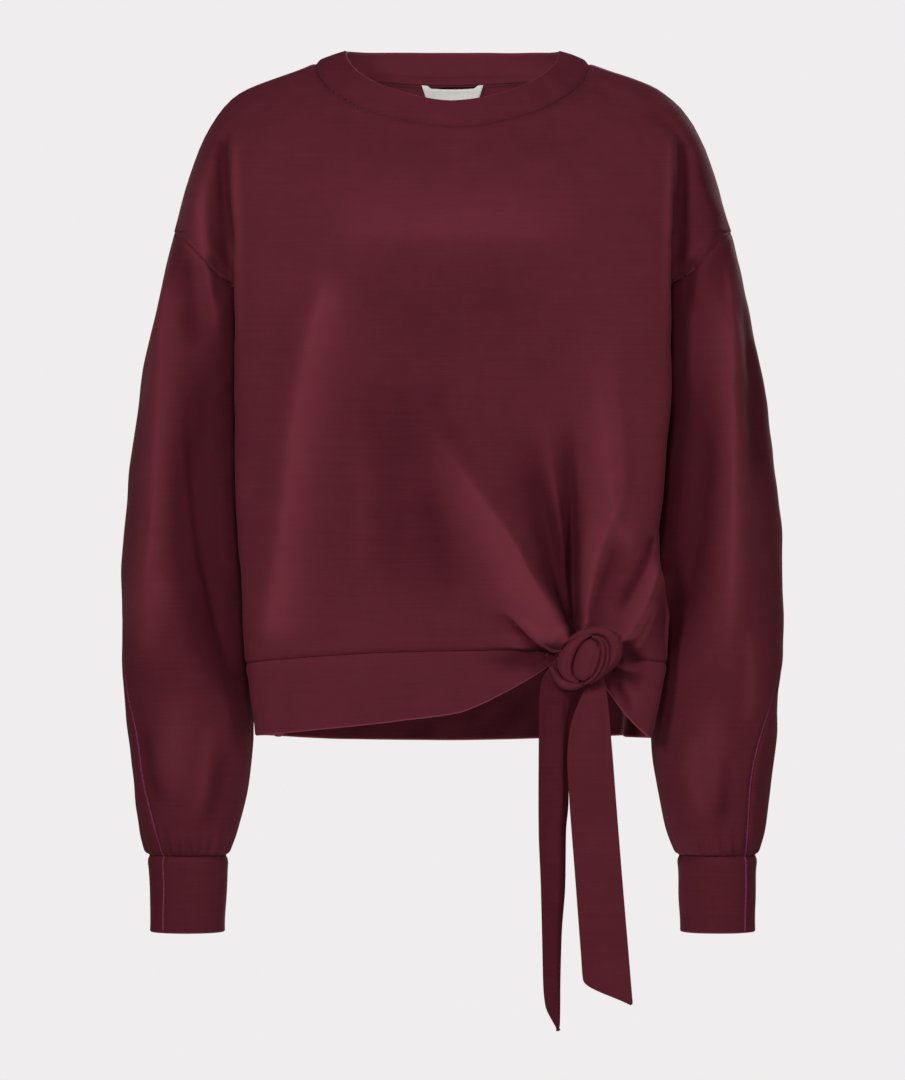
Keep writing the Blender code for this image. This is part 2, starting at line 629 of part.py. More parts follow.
def add_loop(name, table, y, material, around=10):
    """A rolled pass of the knot: an oval tube along a line in the plane of the cloth."""
    loop = columns_of(LOOP_COLUMNS, table)
    line = np.stack([loop["x"], np.full(len(loop["x"]), y), loop["z"]], axis=-1)
    steps = np.linspace(0, len(line) - 1, 2 * len(line))
    line = smooth_through(np.arange(len(line)), line, steps)
    radii = smooth_through(
        np.arange(len(loop["x"])), np.stack([loop["across"], loop["through"]], 1), steps
    )
    tangent = unit(np.gradient(line, axis=0))
    forward = np.array([0.0, -1.0, 0.0])
    sideways = unit(np.cross(tangent, forward))
    angle = np.radians(np.arange(around) * 360 / around)
    rings = (
        line[:, None]
        + sideways[:, None] * (radii[:, :1] * np.cos(angle))[..., None]
        + forward * (radii[:, 1:] * np.sin(angle))[..., None]
    )
    rounding = unit(np.diff(line, axis=0))
    first = line[0] - rounding[0] * radii[0, 0] * 0.6
    final = line[-1] + rounding[-1] * radii[-1, 0] * 0.6
    count = len(line)
    faces = []
    for i in range(count - 1):
        for j in range(around):
            after = (j + 1) % around
            faces.append(
                [i * around + j, (i + 1) * around + j, (i + 1) * around + after, i * around + after]
            )
    start_tip, end_tip = count * around, count * around + 1
    for j in range(around):
        after = (j + 1) % around
        faces.append([start_tip, j, after])
        faces.append([end_tip, (count - 1) * around + after, (count - 1) * around + j])
    points = np.concatenate([rings.reshape(-1, 3), [first], [final]])
    return add_object(name, points, faces, material)


def add_core(material):
    """The pass of cloth across the front of the knot."""
    bpy.ops.mesh.primitive_uv_sphere_add(segments=16, ring_count=10, radius=1.0)
    core = bpy.context.object
    core.name = core.data.name = "knot_core"
    core.data.materials.append(material)
    turn = Euler((0.0, np.radians(KNOT_TILT), 0.0)).to_matrix().to_4x4()
    turn.translation = Vector((KNOT_X, KNOT_CORE_Y, KNOT_Z)) * MM
    for axis, radius in enumerate(KNOT_CORE_RADII):
        for vertex in core.data.vertices:
            vertex.co[axis] *= radius * MM
    core.data.transform(turn)
    core.data.shade_smooth()
    return core


def tie_grid(table, ends_y, columns=5):
    """The outer points of a tie, from the knot to its tip."""
    tie = columns_of(TIE_COLUMNS, table)
    depth = (tie["z"] - tie["z"][0]) / (tie["z"][-1] - tie["z"][0])
    front = ends_y[0] + (ends_y[1] - ends_y[0]) * depth
    steps = np.linspace(0, len(depth) - 1, 2 * len(depth) - 1)
    sides = np.stack([tie["left"], tie["right"], tie["z"], front], axis=-1)
    sides = smooth_through(np.arange(len(depth)), sides, steps)
    share = np.linspace(0, 1, columns)
    across = sides[:, :1] + (sides[:, 1:2] - sides[:, :1]) * share
    bow = sides[:, 3:] - TIE_DROOP * (sides[:, 1:2] - sides[:, :1]) * np.sin(np.pi * share)
    return np.stack([across, bow, np.broadcast_to(sides[:, 2:3], across.shape)], axis=-1)


def add_label(back_grid, normals, material):
    """The label, laid on the inside of the back under the collar."""
    inside = back_grid - normals * (WALL + LABEL_CLEARANCE)
    flat = inside.reshape(-1, 3)
    across = np.linspace(-LABEL_HALF_WIDTH, LABEL_HALF_WIDTH, 6)
    heights = LABEL_TOP_Z - np.linspace(0, LABEL_DROP, 4)
    grid = np.zeros((len(heights), len(across), 3))
    for i, height in enumerate(heights):
        for j, x in enumerate(across):
            apart = np.hypot(flat[:, 0] - x, flat[:, 2] - height)
            near = np.argsort(apart + (flat[:, 1] < 0) * 1e6)[:4]
            weight = 1 / (apart[near] + 1.0)
            grid[i, j] = (x, (flat[near, 1] * weight).sum() / weight.sum() - 1.5, height)
    facing = np.zeros_like(grid) + (0, 1, 0)
    grid = grid[:, ::-1]
    return add_wall("neck_label", grid, facing, False, (), material, LABEL_WALL)


def build():
    """The whole sweater."""
    clear_scene()
    jersey = cloth_material("burgundy_jersey", BURGUNDY, 0.85)
    rib = cloth_material("burgundy_band", BURGUNDY, 0.8)
    woven = cloth_material("label_cloth", LABEL_WHITE, 0.6)

    front, back = body_panel(True), body_panel(False)
    hole = np.s_[SHOULDER_ROW : UNDERARM_ROW + 1]
    patches = {"front": (front, False), "back": (back, False)}
    for side, sign, front_edge, back_edge in (("right", 1, -1, 0), ("left", -1, 0, -1)):
        mirror = np.array((sign, 1, 1))
        behind, ahead = back[hole, back_edge] * mirror, front[hole, front_edge] * mirror
        armhole = np.concatenate([behind, ahead[-2::-1]])
        rings = sleeve_rings(armhole, side == "right")
        cuff = cuff_rings(rings[-1])
        if side == "left":
            rings, cuff = rings[:, ::-1] * mirror, cuff[:, ::-1] * mirror
        half = SLEEVE_SIDE
        first, second = ("back", "front") if side == "right" else ("front", "back")
        patches[f"sleeve_{side}_{first}"] = (rings[:, : half + 1], False)
        patches[f"sleeve_{side}_{second}"] = (rings[:, half:], False)
        patches[f"cuff_{side}"] = (cuff[:, :-1], True)
    neck = np.concatenate([front[0], back[0, 1:-1]])
    patches["collar"] = (collar_rings(neck, front.shape[1]), True)
    seam = front[-1]
    left_count = int((seam[:, 0] <= KNOT_FROM).sum())
    right_start = int((seam[:, 0] < KNOT_TO).sum())
    patches["band_front_left"] = (band_rows(seam[:left_count], FRONT_HEM), False)
    patches["band_front_right"] = (band_rows(seam[right_start:], FRONT_HEM), False)
    patches["band_back"] = (band_rows(back[-1], BACK_HEM), False)

    patches = folded(patches)
    normals = shared_normals(patches)
    every_side = ("top", "bottom", "left", "right")
    for face in ("front", "back"):
        grid = patches[face][0]
        add_wall(f"{face}_body", grid, normals[face], False, every_side, jersey)
    for side in ("left", "right"):
        for face in ("front", "back"):
            name = f"sleeve_{side}_{face}"
            add_wall(name, patches[name][0], normals[name], False, every_side, jersey)
        name = f"cuff_{side}"
        add_wall(name, patches[name][0], normals[name], True, ("top",), rib, BAND_WALL, BAND_PROUD)
    collar_sides = ("bottom",)
    add_wall(
        "collar", patches["collar"][0], normals["collar"], True, collar_sides, rib, BAND_WALL, BAND_PROUD
    )
    band_sides = ("top", "left", "right")
    for name in ("band_front_left", "band_front_right", "band_back"):
        grid = patches[name][0]
        add_wall(name, grid, normals[name], False, band_sides, rib, BAND_WALL, BAND_PROUD)

    add_core(jersey)
    add_loop("knot_wrap", KNOT_WRAP, KNOT_LOOP_Y, jersey)
    add_loop("knot_tail", KNOT_TAIL, KNOT_LOOP_Y, jersey)
    for name, table, ends_y in (
        ("tie_left", TIE_LEFT, TIE_LEFT_Y),
        ("tie_right", TIE_RIGHT, TIE_RIGHT_Y),
    ):
        grid = tie_grid(table, ends_y)
        facing = shared_normals({name: (grid, False)})[name]
        add_wall(name, grid, facing, False, (), rib, TIE_WALL)
    add_label(patches["back"][0], normals["back"], woven)


build()
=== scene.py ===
"""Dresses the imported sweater: brushed jersey with its folds, doubled bands, a contrast seam, a knot.

Lengths in the tables are millimetres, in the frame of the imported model: +Z up, the front faces -Y,
the origin in the middle of the neck. Rows of a cloth grid run down the garment and its columns run
round it, anticlockwise seen from above.
"""

from __future__ import annotations

import logging
import math
from dataclasses import dataclass, field, replace
from enum import Enum
from typing import ClassVar, Iterable, Sequence

import bpy
import numpy as np
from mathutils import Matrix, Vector


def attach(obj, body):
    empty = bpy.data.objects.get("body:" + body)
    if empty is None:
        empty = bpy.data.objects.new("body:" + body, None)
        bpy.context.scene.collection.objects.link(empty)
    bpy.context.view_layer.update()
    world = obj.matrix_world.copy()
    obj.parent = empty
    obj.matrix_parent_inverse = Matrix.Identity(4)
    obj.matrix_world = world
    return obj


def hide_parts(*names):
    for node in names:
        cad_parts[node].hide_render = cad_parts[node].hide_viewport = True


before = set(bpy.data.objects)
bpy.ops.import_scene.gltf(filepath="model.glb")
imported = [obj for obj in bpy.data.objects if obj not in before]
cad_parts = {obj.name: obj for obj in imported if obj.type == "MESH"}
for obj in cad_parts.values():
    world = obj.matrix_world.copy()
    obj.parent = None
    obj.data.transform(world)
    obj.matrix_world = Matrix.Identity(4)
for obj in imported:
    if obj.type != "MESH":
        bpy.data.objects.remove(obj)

LOG = logging.getLogger("sweater")
MM = 0.001
Array = np.ndarray
Colour = tuple[float, float, float, float]
Steps = tuple[tuple[float, float, int], ...]
EVERY_SIDE = ("top", "bottom", "left", "right")


# ---------------------------------------------------------------- options


class Face(Enum):
    """The two sides of the garment."""

    FRONT = "front"
    BACK = "back"


class Side(Enum):
    """The two arms, by the sign of X."""

    LEFT = -1
    RIGHT = 1

    @property
    def word(self) -> str:
        """The side's name as nodes carry it."""
        return self.name.lower()


class Hold(Enum):
    """How a sheet of cloth is held."""

    HUNG = "hung"


# ---------------------------------------------------------------- shader graph


class Value:
    """A socket that can be used in Python expressions; each operator adds its Math node."""

    def __init__(self, graph: Graph, socket: bpy.types.NodeSocket) -> None:
        """Keeps the socket and the graph that it belongs to."""
        self.graph = graph
        self.socket = socket

    def __add__(self, other: Value) -> Value:
        """The sum."""
        return self.graph.node("ShaderNodeMath", {"operation": "ADD"}, {0: self, 1: other})

    def __mul__(self, share: float) -> Value:
        """The product."""
        return self.graph.node("ShaderNodeMath", {"operation": "MULTIPLY"}, {0: self, 1: share})


@dataclass(frozen=True)
class Grain:
    """A layer of noise: cycles a metre along each axis, its finer layers, and its share of a mix."""

    cycles: tuple[float, float, float]
    detail: float
    rough: float
    share: float = 1.0


class Graph:
    """The node tree of one material."""

    def __init__(self, name: str) -> None:
        """Starts a material with its shader and output alone."""
        self.material = bpy.data.materials.new(name)
        self.material.use_nodes = True
        self.tree = self.material.node_tree
        self.shader = self.tree.nodes["Principled BSDF"]

    def node(
        self,
        kind: str,
        settings: dict[str, object] | None = None,
        inputs: dict[object, object] | None = None,
        output: object = 0,
    ) -> Value:
        """Any node.

        Args:
            kind: the node's type.
            settings: its own settings, which are set first.
            inputs: values or links, by a socket's name or place.
            output: the socket that is wanted, by name or place.

        Returns:
            The wanted output.
        """
        made = self.tree.nodes.new(kind)
        for name, value in (settings or {}).items():
            setattr(made, name, value)
        for key, value in (inputs or {}).items():
            self.feed(made.inputs[key], value)
        return Value(self, made.outputs[output])

    def feed(self, socket: bpy.types.NodeSocket, value: object) -> None:
        """Links a Value to a socket, or sets a plain number or colour on it.

        Args:
            socket: an input of a node.
            value: a Value, a number or a colour.
        """
        if isinstance(value, Value):
            self.tree.links.new(value.socket, socket)
        else:
            socket.default_value = value

    def noise(self, grain: Grain) -> Value:
        """Noise from 0 to 1, in the object's own coordinates.

        Args:
            grain: the noise's size along each axis and its finer layers.

        Returns:
            The noise.
        """
        coordinates = self.node("ShaderNodeTexCoord", output="Object")
        places = self.node(
            "ShaderNodeVectorMath", {"operation": "MULTIPLY"}, {0: coordinates, 1: grain.cycles}
        )
        inputs = {"Vector": places, "Scale": 1.0, "Detail": grain.detail, "Roughness": grain.rough}
        return self.node("ShaderNodeTexNoise", {"noise_dimensions": "3D"}, inputs)

    def mix(self, layers: Sequence[Value], grains: Sequence[Grain]) -> Value:
        """The sum of layers of noise, each by its share."""
        first, *others = [layer * grain.share for layer, grain in zip(layers, grains)]
        return sum(others, first)

    def ranged(self, value: Value, low: float, high: float, start: float, end: float) -> Value:
        """A value taken from one range to another, and held at its ends."""
        return self.node(
            "ShaderNodeMapRange",
            {"clamp": True},
            {"Value": value, "From Min": low, "From Max": high, "To Min": start, "To Max": end},
        )

    def blend(self, share: object, first: object, second: object) -> Value:
        """A colour between two colours.

        Args:
            share: 0 for the first, 1 for the second.
            first: a colour or a Value.
            second: a colour or a Value.

        Returns:
            The mixed colour.
        """
        made = self.tree.nodes.new("ShaderNodeMix")
        made.data_type = "RGBA"
        names = {"Factor_Float": share, "A_Color": first, "B_Color": second}
        for socket in made.inputs:
            if socket.identifier in names:
                self.feed(socket, names[socket.identifier])
        result = next(s for s in made.outputs if s.identifier == "Result_Color")
        return Value(self, result)

    def paint(self, inputs: dict[str, object]) -> None:
        """Feeds inputs of the shader, by name."""
        for name, value in inputs.items():
            self.feed(self.shader.inputs[name], value)

    def bump(self, height: Value, distance: float, strength: float) -> None:
        """Feeds a height to the shader's normal through a Bump node."""
        inputs = {"Height": height, "Distance": distance, "Strength": strength}
        self.paint({"Normal": self.node("ShaderNodeBump", inputs=inputs, output="Normal")})


@dataclass(frozen=True)
class JerseyFinish:
    """Brushed jersey: soft fibres over fine courses of knit, faintly mottled by the dye, with painted shading
    added to its colour.
    """

    name: str
    courses: Grain
    # the darkest and palest colours; the random tone and the painted shading move between them
    deep_shade: Colour = (0.068, 0.0066, 0.0142, 1.0)
    pale_shade: Colour = (0.188, 0.0300, 0.0480, 1.0)
    clouds: Grain = Grain((9.0, 9.0, 7.0), 4.0, 0.6, 0.35)
    mottling: Grain = Grain((75.0, 75.0, 60.0), 3.0, 0.6, 0.30)
    hairs: Grain = Grain((1100.0, 1100.0, 1100.0), 2.0, 0.7, 0.10)
    tone_span: tuple[float, float] = (0.36, 0.64)  # of the noise, that the tones spread over
    tones: tuple[float, float] = (0.26, 0.48)  # shares of the way from deep to pale
    rubbing: float = 0.5  # how far the full painted shading moves the tone
    mottling_span: tuple[float, float] = (0.3, 0.7)  # of the noise, that the roughness spreads over
    roughness: tuple[float, float] = (0.79, 0.90)
    sheen: float = 0.10
    sheen_roughness: float = 0.3
    sheen_tint: Colour = (0.9, 0.45, 0.52, 1.0)
    specular: float = 0.12
    relief: float = 0.0005  # metres
    relief_strength: float = 0.35
    loop_rate: float = 1.6  # how much finer the loops in the relief are than the courses
    loop_share: float = 0.45  # of the relief; the hairs have the rest

    def make(self) -> bpy.types.Material:
        """The finish as a material.

        Returns:
            The material.
        """
        graph = Graph(self.name)
        grains = (self.clouds, self.mottling, self.courses, self.hairs)
        layers = [graph.noise(grain) for grain in grains]
        mottled, hairy = layers[1], layers[3]
        tone = graph.mix(layers, grains)
        # painted shading: each point's painted light or painted shade moves the colour paler or deeper
        painted_tone = graph.node("ShaderNodeAttribute", {"attribute_name": "nap"}, output="Fac")
        share = graph.ranged(tone, *self.tone_span, *self.tones) + painted_tone * self.rubbing
        graph.paint(
            {
                "Base Color": graph.blend(share, self.deep_shade, self.pale_shade),
                "Roughness": graph.ranged(mottled, *self.mottling_span, *self.roughness),
                "Sheen Weight": self.sheen,
                "Sheen Roughness": self.sheen_roughness,
                "Sheen Tint": self.sheen_tint,
                "Specular IOR Level": self.specular,
            }
        )
        loops = Grain(tuple(self.loop_rate * rate for rate in self.courses.cycles), 2.0, 0.6)
        height = hairy * (1 - self.loop_share) + graph.noise(loops) * self.loop_share
        graph.bump(height, self.relief, self.relief_strength)
        return graph.material


@dataclass(frozen=True)
class GrainedFinish:
    """Two shades that mingle along one grain or more, as in spun thread, woven tape and matt paint."""

    name: str
    shade: Colour
    pale_shade: Colour
    grains: tuple[Grain, ...]
    spread: float = 0.15  # how far from the grain's middle each shade is full
    roughness: float = 0.6
    specular: float = 0.5
    relief: float = 0.0  # metres
    relief_strength: float = 0.5

    def make(self) -> bpy.types.Material:
        """The finish as a material.

        Returns:
            The material.
        """
        graph = Graph(self.name)
        mixed = graph.mix([graph.noise(grain) for grain in self.grains], self.grains)
        share = graph.ranged(mixed, 0.5 - self.spread, 0.5 + self.spread, 0.0, 1.0)
        graph.paint(
            {
                "Base Color": graph.blend(share, self.shade, self.pale_shade),
                "Roughness": self.roughness,
                "Specular IOR Level": self.specular,
            }
        )
        if self.relief:
            graph.bump(mixed, self.relief, self.relief_strength)
        return graph.material


JERSEY = JerseyFinish("burgundy_jersey_brushed", Grain((16.0, 16.0, 520.0), 3.0, 0.65, 0.25))
BANDING = JerseyFinish("burgundy_band_brushed", Grain((12.0, 12.0, 700.0), 3.0, 0.65, 0.25))
TWIST = (Grain((900.0, 900.0, 420.0), 2.0, 0.6),)
PLUM_THREAD = GrainedFinish(
    "plum_seam",
    (0.150, 0.016, 0.062, 1.0),
    (0.215, 0.030, 0.095, 1.0),
    TWIST,
    specular=0.2,
    relief=0.0004,
)
DARK_THREAD = replace(
    PLUM_THREAD,
    name="burgundy_thread",
    shade=(0.050, 0.0065, 0.012, 1.0),
    pale_shade=(0.075, 0.010, 0.018, 1.0),
)
LABEL_TAPE = GrainedFinish(
    "label_woven",
    (0.84, 0.82, 0.79, 1.0),
    (0.90, 0.88, 0.85, 1.0),
    (Grain((1500.0, 60.0, 60.0), 1.0, 0.5, 0.5), Grain((60.0, 60.0, 1500.0), 1.0, 0.5, 0.5)),
    relief=0.0003,
    relief_strength=0.4,
)
FLOOR_PAINT = GrainedFinish(
    "studio_floor",
    (0.80, 0.785, 0.79, 1.0),
    (0.83, 0.815, 0.82, 1.0),
    (Grain((1.5, 1.5, 1.5), 2.0, 0.5),),
    spread=0.2,
    roughness=0.8,
)


# ---------------------------------------------------------------- curves and grids


def smooth_through(
    places: Sequence[float], values: Array, wanted: Array, rounded: bool = False
) -> Array:
    """A cubic curve through values at places.

    Args:
        places: where the values stand.
        values: one value or point for each place.
        wanted: where the curve is read.
        rounded: whether it turns evenly at each value, or never swings past one.

    Returns:
        The curve's values at the wanted places.
    """
    places = np.asarray(places, float)
    values = np.asarray(values, float)
    wanted = np.asarray(wanted, float)
    widen = (-1,) + (1,) * (values.ndim - 1)
    steps = np.diff(places).reshape(widen)
    slopes = np.diff(values, axis=0) / steps
    before, after = slopes[:-1], slopes[1:]
    if rounded:
        between = (before * steps[1:] + after * steps[:-1]) / (steps[1:] + steps[:-1])
    else:
        near, far = 2 * steps[1:] + steps[:-1], steps[1:] + 2 * steps[:-1]
        same_way = before * after > 0
        safe_before = np.where(same_way, before, 1.0)
        safe_after = np.where(same_way, after, 1.0)
        between = np.where(same_way, (near + far) / (near / safe_before + far / safe_after), 0.0)
    tangents = np.concatenate([slopes[:1], between, slopes[-1:]])
    span = np.clip(np.searchsorted(places, wanted, side="right") - 1, 0, len(places) - 2)
    length = (places[span + 1] - places[span]).reshape(widen)
    share = ((wanted - places[span]) / (places[span + 1] - places[span])).reshape(widen)
    square, cube = share**2, share**3
    return (
        (2 * cube - 3 * square + 1) * values[span]
        + (cube - 2 * square + share) * length * tangents[span]
        + (3 * square - 2 * cube) * values[span + 1]
        + (cube - square) * length * tangents[span + 1]
    )


def smooth_step(value: Array | float) -> Array:
    """0 below 0, 1 above 1 and a soft rise between."""
    value = np.clip(value, 0.0, 1.0)
    return value * value * (3 - 2 * value)


def unit(vectors: Array) -> Array:
    """The vectors at length 1."""
    return vectors / np.maximum(np.linalg.norm(vectors, axis=-1, keepdims=True), 1e-9)


def table(rows: Sequence[object], *names: str) -> Array:
    """The named columns of a list of rows, side by side."""
    return np.array([[getattr(row, name) for name in names] for row in rows], float)


def rows_of(kind: type, *rows: tuple) -> tuple:
    """The rows of a table, each made from its values in order."""
    return tuple(kind(*values) for values in rows)


def fine_places(
    *stretches: tuple[float, float, int], near_ends: Sequence[float] = (0.06, 0.13)
) -> Array:
    """Places along a grid, closer together at both ends, where the seams are.

    Args:
        stretches: each stretch's first and last place, and how many steps make one whole place.
        near_ends: extra places, from either end.

    Returns:
        The places in order.
    """
    parts = [
        np.linspace(first, last, round((last - first) * per) + 1) for first, last, per in stretches
    ]
    extra = np.asarray(near_ends, float)
    return np.unique(np.round(np.concatenate([*parts, extra, stretches[-1][1] - extra]), 5))


def grid_normals(grid: Array, closed: bool) -> Array:
    """The outward normal at each point of a grid.

    Args:
        grid: rows by columns of points.
        closed: whether the last column joins the first.

    Returns:
        Unit vectors, one for each point.
    """
    down = np.gradient(grid, axis=0)
    if closed:
        wide = np.concatenate([grid[:, -1:], grid, grid[:, :1]], axis=1)
        over = (wide[:, 2:] - wide[:, :-2]) / 2
    else:
        over = np.gradient(grid, axis=1)
    return unit(np.cross(down, over))


def edge_distance(grid: Array, side: str) -> Array:
    """How far each point lies from one edge of its grid, measured along the cloth.

    Args:
        grid: rows by columns of points.
        side: top, bottom, left or right.

    Returns:
        One distance for each point.
    """
    axis = 0 if side in ("top", "bottom") else 1
    if side in ("bottom", "right"):
        grid = np.flip(grid, axis)
    steps = np.linalg.norm(np.diff(grid, axis=axis), axis=-1)
    first = np.zeros_like(np.take(steps, [0], axis))
    far = np.concatenate([first, np.cumsum(steps, axis=axis)], axis=axis)
    return np.flip(far, axis) if side in ("bottom", "right") else far


@dataclass
class Patch:
    """One piece of cloth as a grid of outer points."""

    grid: Array
    closed: bool = False
    seams: tuple[str, ...] = ()
    normals: Array = field(default_factory=lambda: np.zeros(0))
    # painted shading at each point: painted highlight on fold crests, painted shade in troughs
    nap: Array = field(default_factory=lambda: np.zeros(0))


def share_normals(patches: dict[str, Patch]) -> None:
    """Gives all patches normals, and the ones that meet at a seam the same ones there.

    Args:
        patches: the patches by name; their normals are set.
    """
    sums: dict[tuple, Array] = {}
    rims: dict[str, list[tuple]] = {}
    for name, patch in patches.items():
        patch.normals = grid_normals(patch.grid, patch.closed)
        rows, cols = patch.grid.shape[:2]
        rim = [(i, j) for i in (0, rows - 1) for j in range(cols)]
        if not patch.closed:
            rim += [(i, j) for i in range(1, rows - 1) for j in (0, cols - 1)]
        rims[name] = rim
        for place in rim:
            key = tuple(np.round(patch.grid[place], 1) + 0.0)
            sums[key] = sums.get(key, 0) + patch.normals[place]
    for name, patch in patches.items():
        for place in rims[name]:
            key = tuple(np.round(patch.grid[place], 1) + 0.0)
            patch.normals[place] = unit(sums[key])


def placed(name: str, data: bpy.types.ID) -> bpy.types.Object:
    """An object of the data, linked to the scene.

    Args:
        name: the object's name.
        data: its mesh, light or camera.

    Returns:
        The object.
    """
    made = bpy.data.objects.new(name, data)
    bpy.context.scene.collection.objects.link(made)
    return made


def smooth_object(
    name: str, points: Array, faces: list[list[int]], finish: bpy.types.Material
) -> bpy.types.Object:
    """An object of smooth faces.

    Args:
        name: the object's name.
        points: its points, in millimetres.
        faces: the points of each face, by number.
        finish: its material.

    Returns:
        The object.
    """
    mesh = bpy.data.meshes.new(name)
    mesh.from_pydata((points.reshape(-1, 3) * MM).tolist(), [], faces)
    mesh.materials.append(finish)
    mesh.shade_smooth()
    return placed(name, mesh)


class ClothMesh:
    """Makes one object from a stack of grid rows that closes on itself."""

    @staticmethod
    def make(
        name: str,
        stack: Array,
        closed_cols: bool,
        finish: bpy.types.Material,
        nap: Array | None = None,
    ) -> bpy.types.Object:
        """A closed body.

        Args:
            name: the object's name.
            stack: rows that run down the outside, round the edge and up the inside.
            closed_cols: whether the last column joins the first.
            finish: its material.
            nap: painted light added to the colour at each point, below 0 for painted shade.

        Returns:
            The object.
        """
        rows, cols = stack.shape[:2]
        index = np.arange(rows * cols).reshape(rows, cols)
        across = np.concatenate([index, index[:, :1]], axis=1) if closed_cols else index
        around = np.concatenate([across, across[:1]], axis=0)
        quads = np.stack(
            [around[:-1, :-1], around[1:, :-1], around[1:, 1:], around[:-1, 1:]], axis=-1
        ).reshape(-1, 4)
        faces = quads.tolist()
        if not closed_cols:
            for k in range((rows - 1) // 2):
                back = rows - 1 - k
                low = [index[k, 0], index[back, 0], index[back - 1, 0], index[k + 1, 0]]
                high = [index[k, -1], index[k + 1, -1], index[back - 1, -1], index[back, -1]]
                for face in (low, high):
                    corners = list(dict.fromkeys(int(corner) for corner in face))
                    if len(corners) > 2:
                        faces.append(corners)
        made = smooth_object(name, stack, faces, finish)
        # stores the painted shading as a point attribute that the jersey materials read
        if nap is not None:
            layer = made.data.attributes.new("nap", "FLOAT", "POINT")
            layer.data.foreach_set("value", nap.reshape(-1).astype(np.float32))
        return made

    @staticmethod
    def shell(grid: Array, normals: Array, thickness: float) -> Array:
        """One layer of cloth: its outside going down and its inside coming back up."""
        return np.concatenate([grid, (grid - normals * thickness)[::-1]], axis=0)

    @staticmethod
    def doubled(
        grid: Array, normals: Array, thickness: float, fold_at_top: bool, turns: int = 7
    ) -> Array:
        """Cloth folded double, round at the fold.

        Args:
            grid: its outer points.
            normals: their outward normals.
            thickness: of both layers together.
            fold_at_top: whether the fold is the grid's first row or its last.
            turns: how many rows go round the fold.

        Returns:
            The stack of rows: round the fold if it is at the top, down the outside, round the fold if
            it is at the bottom, and up the inside.
        """
        inner = grid - normals * thickness
        edge, beside = (0, 1) if fold_at_top else (-1, -2)
        out = unit(grid[edge] - grid[beside])
        middle = (grid[edge] + inner[edge]) / 2
        reach = normals[edge] * thickness / 2
        angles = np.linspace(0, np.pi, turns + 2)[1:-1]
        fold = np.stack(
            [middle + reach * np.cos(a) + out * np.sin(a) * thickness / 2 for a in angles]
        )
        if fold_at_top:
            return np.concatenate([fold[::-1], grid, inner[::-1]], axis=0)
        return np.concatenate([grid, fold, inner[::-1]], axis=0)

    @staticmethod
    def tube(line: Array, across: Array, through: Array, facing: Array, around: int) -> Array:
        """An oval tube as rows along a line.

        Args:
            line: the middle of the tube.
            across: its half width at each point.
            through: its half depth at each point.
            facing: the direction its depth is measured in, for each point.
            around: points on each ring.

        Returns:
            Rings of points, one row for each point of the line.
        """
        tangent = unit(np.gradient(line, axis=0))
        sideways = unit(np.cross(tangent, facing))
        upward = unit(np.cross(sideways, tangent))
        angle = np.arange(around) * 2 * np.pi / around
        return (
            line[:, None]
            + sideways[:, None] * (across[:, None] * np.cos(angle))[..., None]
            + upward[:, None] * (through[:, None] * np.sin(angle))[..., None]
        )


def tube_object(
    name: str, rings: Array, finish: bpy.types.Material, flip: bool = False
) -> bpy.types.Object:
    """A tube with rounded ends from its rings.

    Args:
        name: the object's name.
        rings: rows of points along the tube.
        finish: its material.
        flip: whether the faces are turned over.

    Returns:
        The object.
    """
    count, around = rings.shape[:2]
    index = np.arange(count * around).reshape(count, around)
    after = np.roll(index, -1, axis=1)
    quads = np.stack([index[:-1], index[1:], after[1:], after[:-1]], axis=-1)
    faces = quads.reshape(-1, 4).tolist()
    start, end = index.size, index.size + 1
    for j, k in zip(index[0].tolist(), after[0].tolist()):
        faces += [[start, j, k], [end, k + start - around, j + start - around]]
    if flip:
        faces = [face[::-1] for face in faces]
    points = np.concatenate([rings.reshape(-1, 3), rings[:1].mean(1), rings[-1:].mean(1)])
    return smooth_object(name, points, faces, finish)


# ---------------------------------------------------------------- folds


@dataclass(frozen=True)
class Fold:
    """One fold of the cloth, by its line as seen from the front.

    It stands out by lift (or sinks in, below zero), is as wide as its half widths at either end,
    fades over a share of its length at each end, and leans: above zero its right side, seen along
    the line, is the steeper one. A power below 2 makes its crest sharper.
    """

    lift: float
    width: float
    fade_in: float
    fade_out: float
    line: tuple[tuple[float, float], ...]
    end_width: float | None = None
    lean: float = 0.0
    power: float = 2.0
    steps_per_corner: ClassVar[int] = 6
    reach: ClassVar[float] = 2.6  # half widths, beyond which the fold moves nothing
    lean_share: ClassVar[float] = 0.25  # of the half width, over which the sides change over

    def heights(self, flat: Array) -> Array:
        """How far the fold moves each point out.

        Args:
            flat: points as (x, z).

        Returns:
            One height for each point.
        """
        line = np.array(self.line, float)
        corners = np.arange(len(line))
        places = np.linspace(0, corners[-1], self.steps_per_corner * len(line))
        fine = smooth_through(corners, line, places)
        last_width = self.width if self.end_width is None else self.end_width
        reach = self.reach * max(self.width, last_width)
        total = np.zeros(len(flat))
        low, high = fine.min(0) - reach, fine.max(0) + reach
        near = np.flatnonzero(((flat > low) & (flat < high)).all(1))
        if not len(near):
            return total
        points = flat[near]
        start, step = fine[:-1], np.diff(fine, axis=0)
        offset = points[:, None] - start
        along = np.clip(np.einsum("psk,sk->ps", offset, step) / (step**2).sum(1), 0, 1)
        away = offset - along[..., None] * step
        apart = np.linalg.norm(away, axis=-1)
        nearest = apart.argmin(1)
        picked = np.arange(len(points))
        share = (nearest + along[picked, nearest]) / len(step)
        ahead, beside = step[nearest], offset[picked, nearest]
        side = np.sign(ahead[:, 0] * beside[:, 1] - ahead[:, 1] * beside[:, 0])
        signed = apart[picked, nearest] * side
        width = self.width + (last_width - self.width) * share
        width = width * (1 + self.lean * np.tanh(signed / (self.lean_share * width)))
        fade = smooth_step(share / self.fade_in) * smooth_step((1 - share) / self.fade_out)
        total[near] = self.lift * fade * np.exp(-(np.abs(signed / width) ** self.power))
        return total


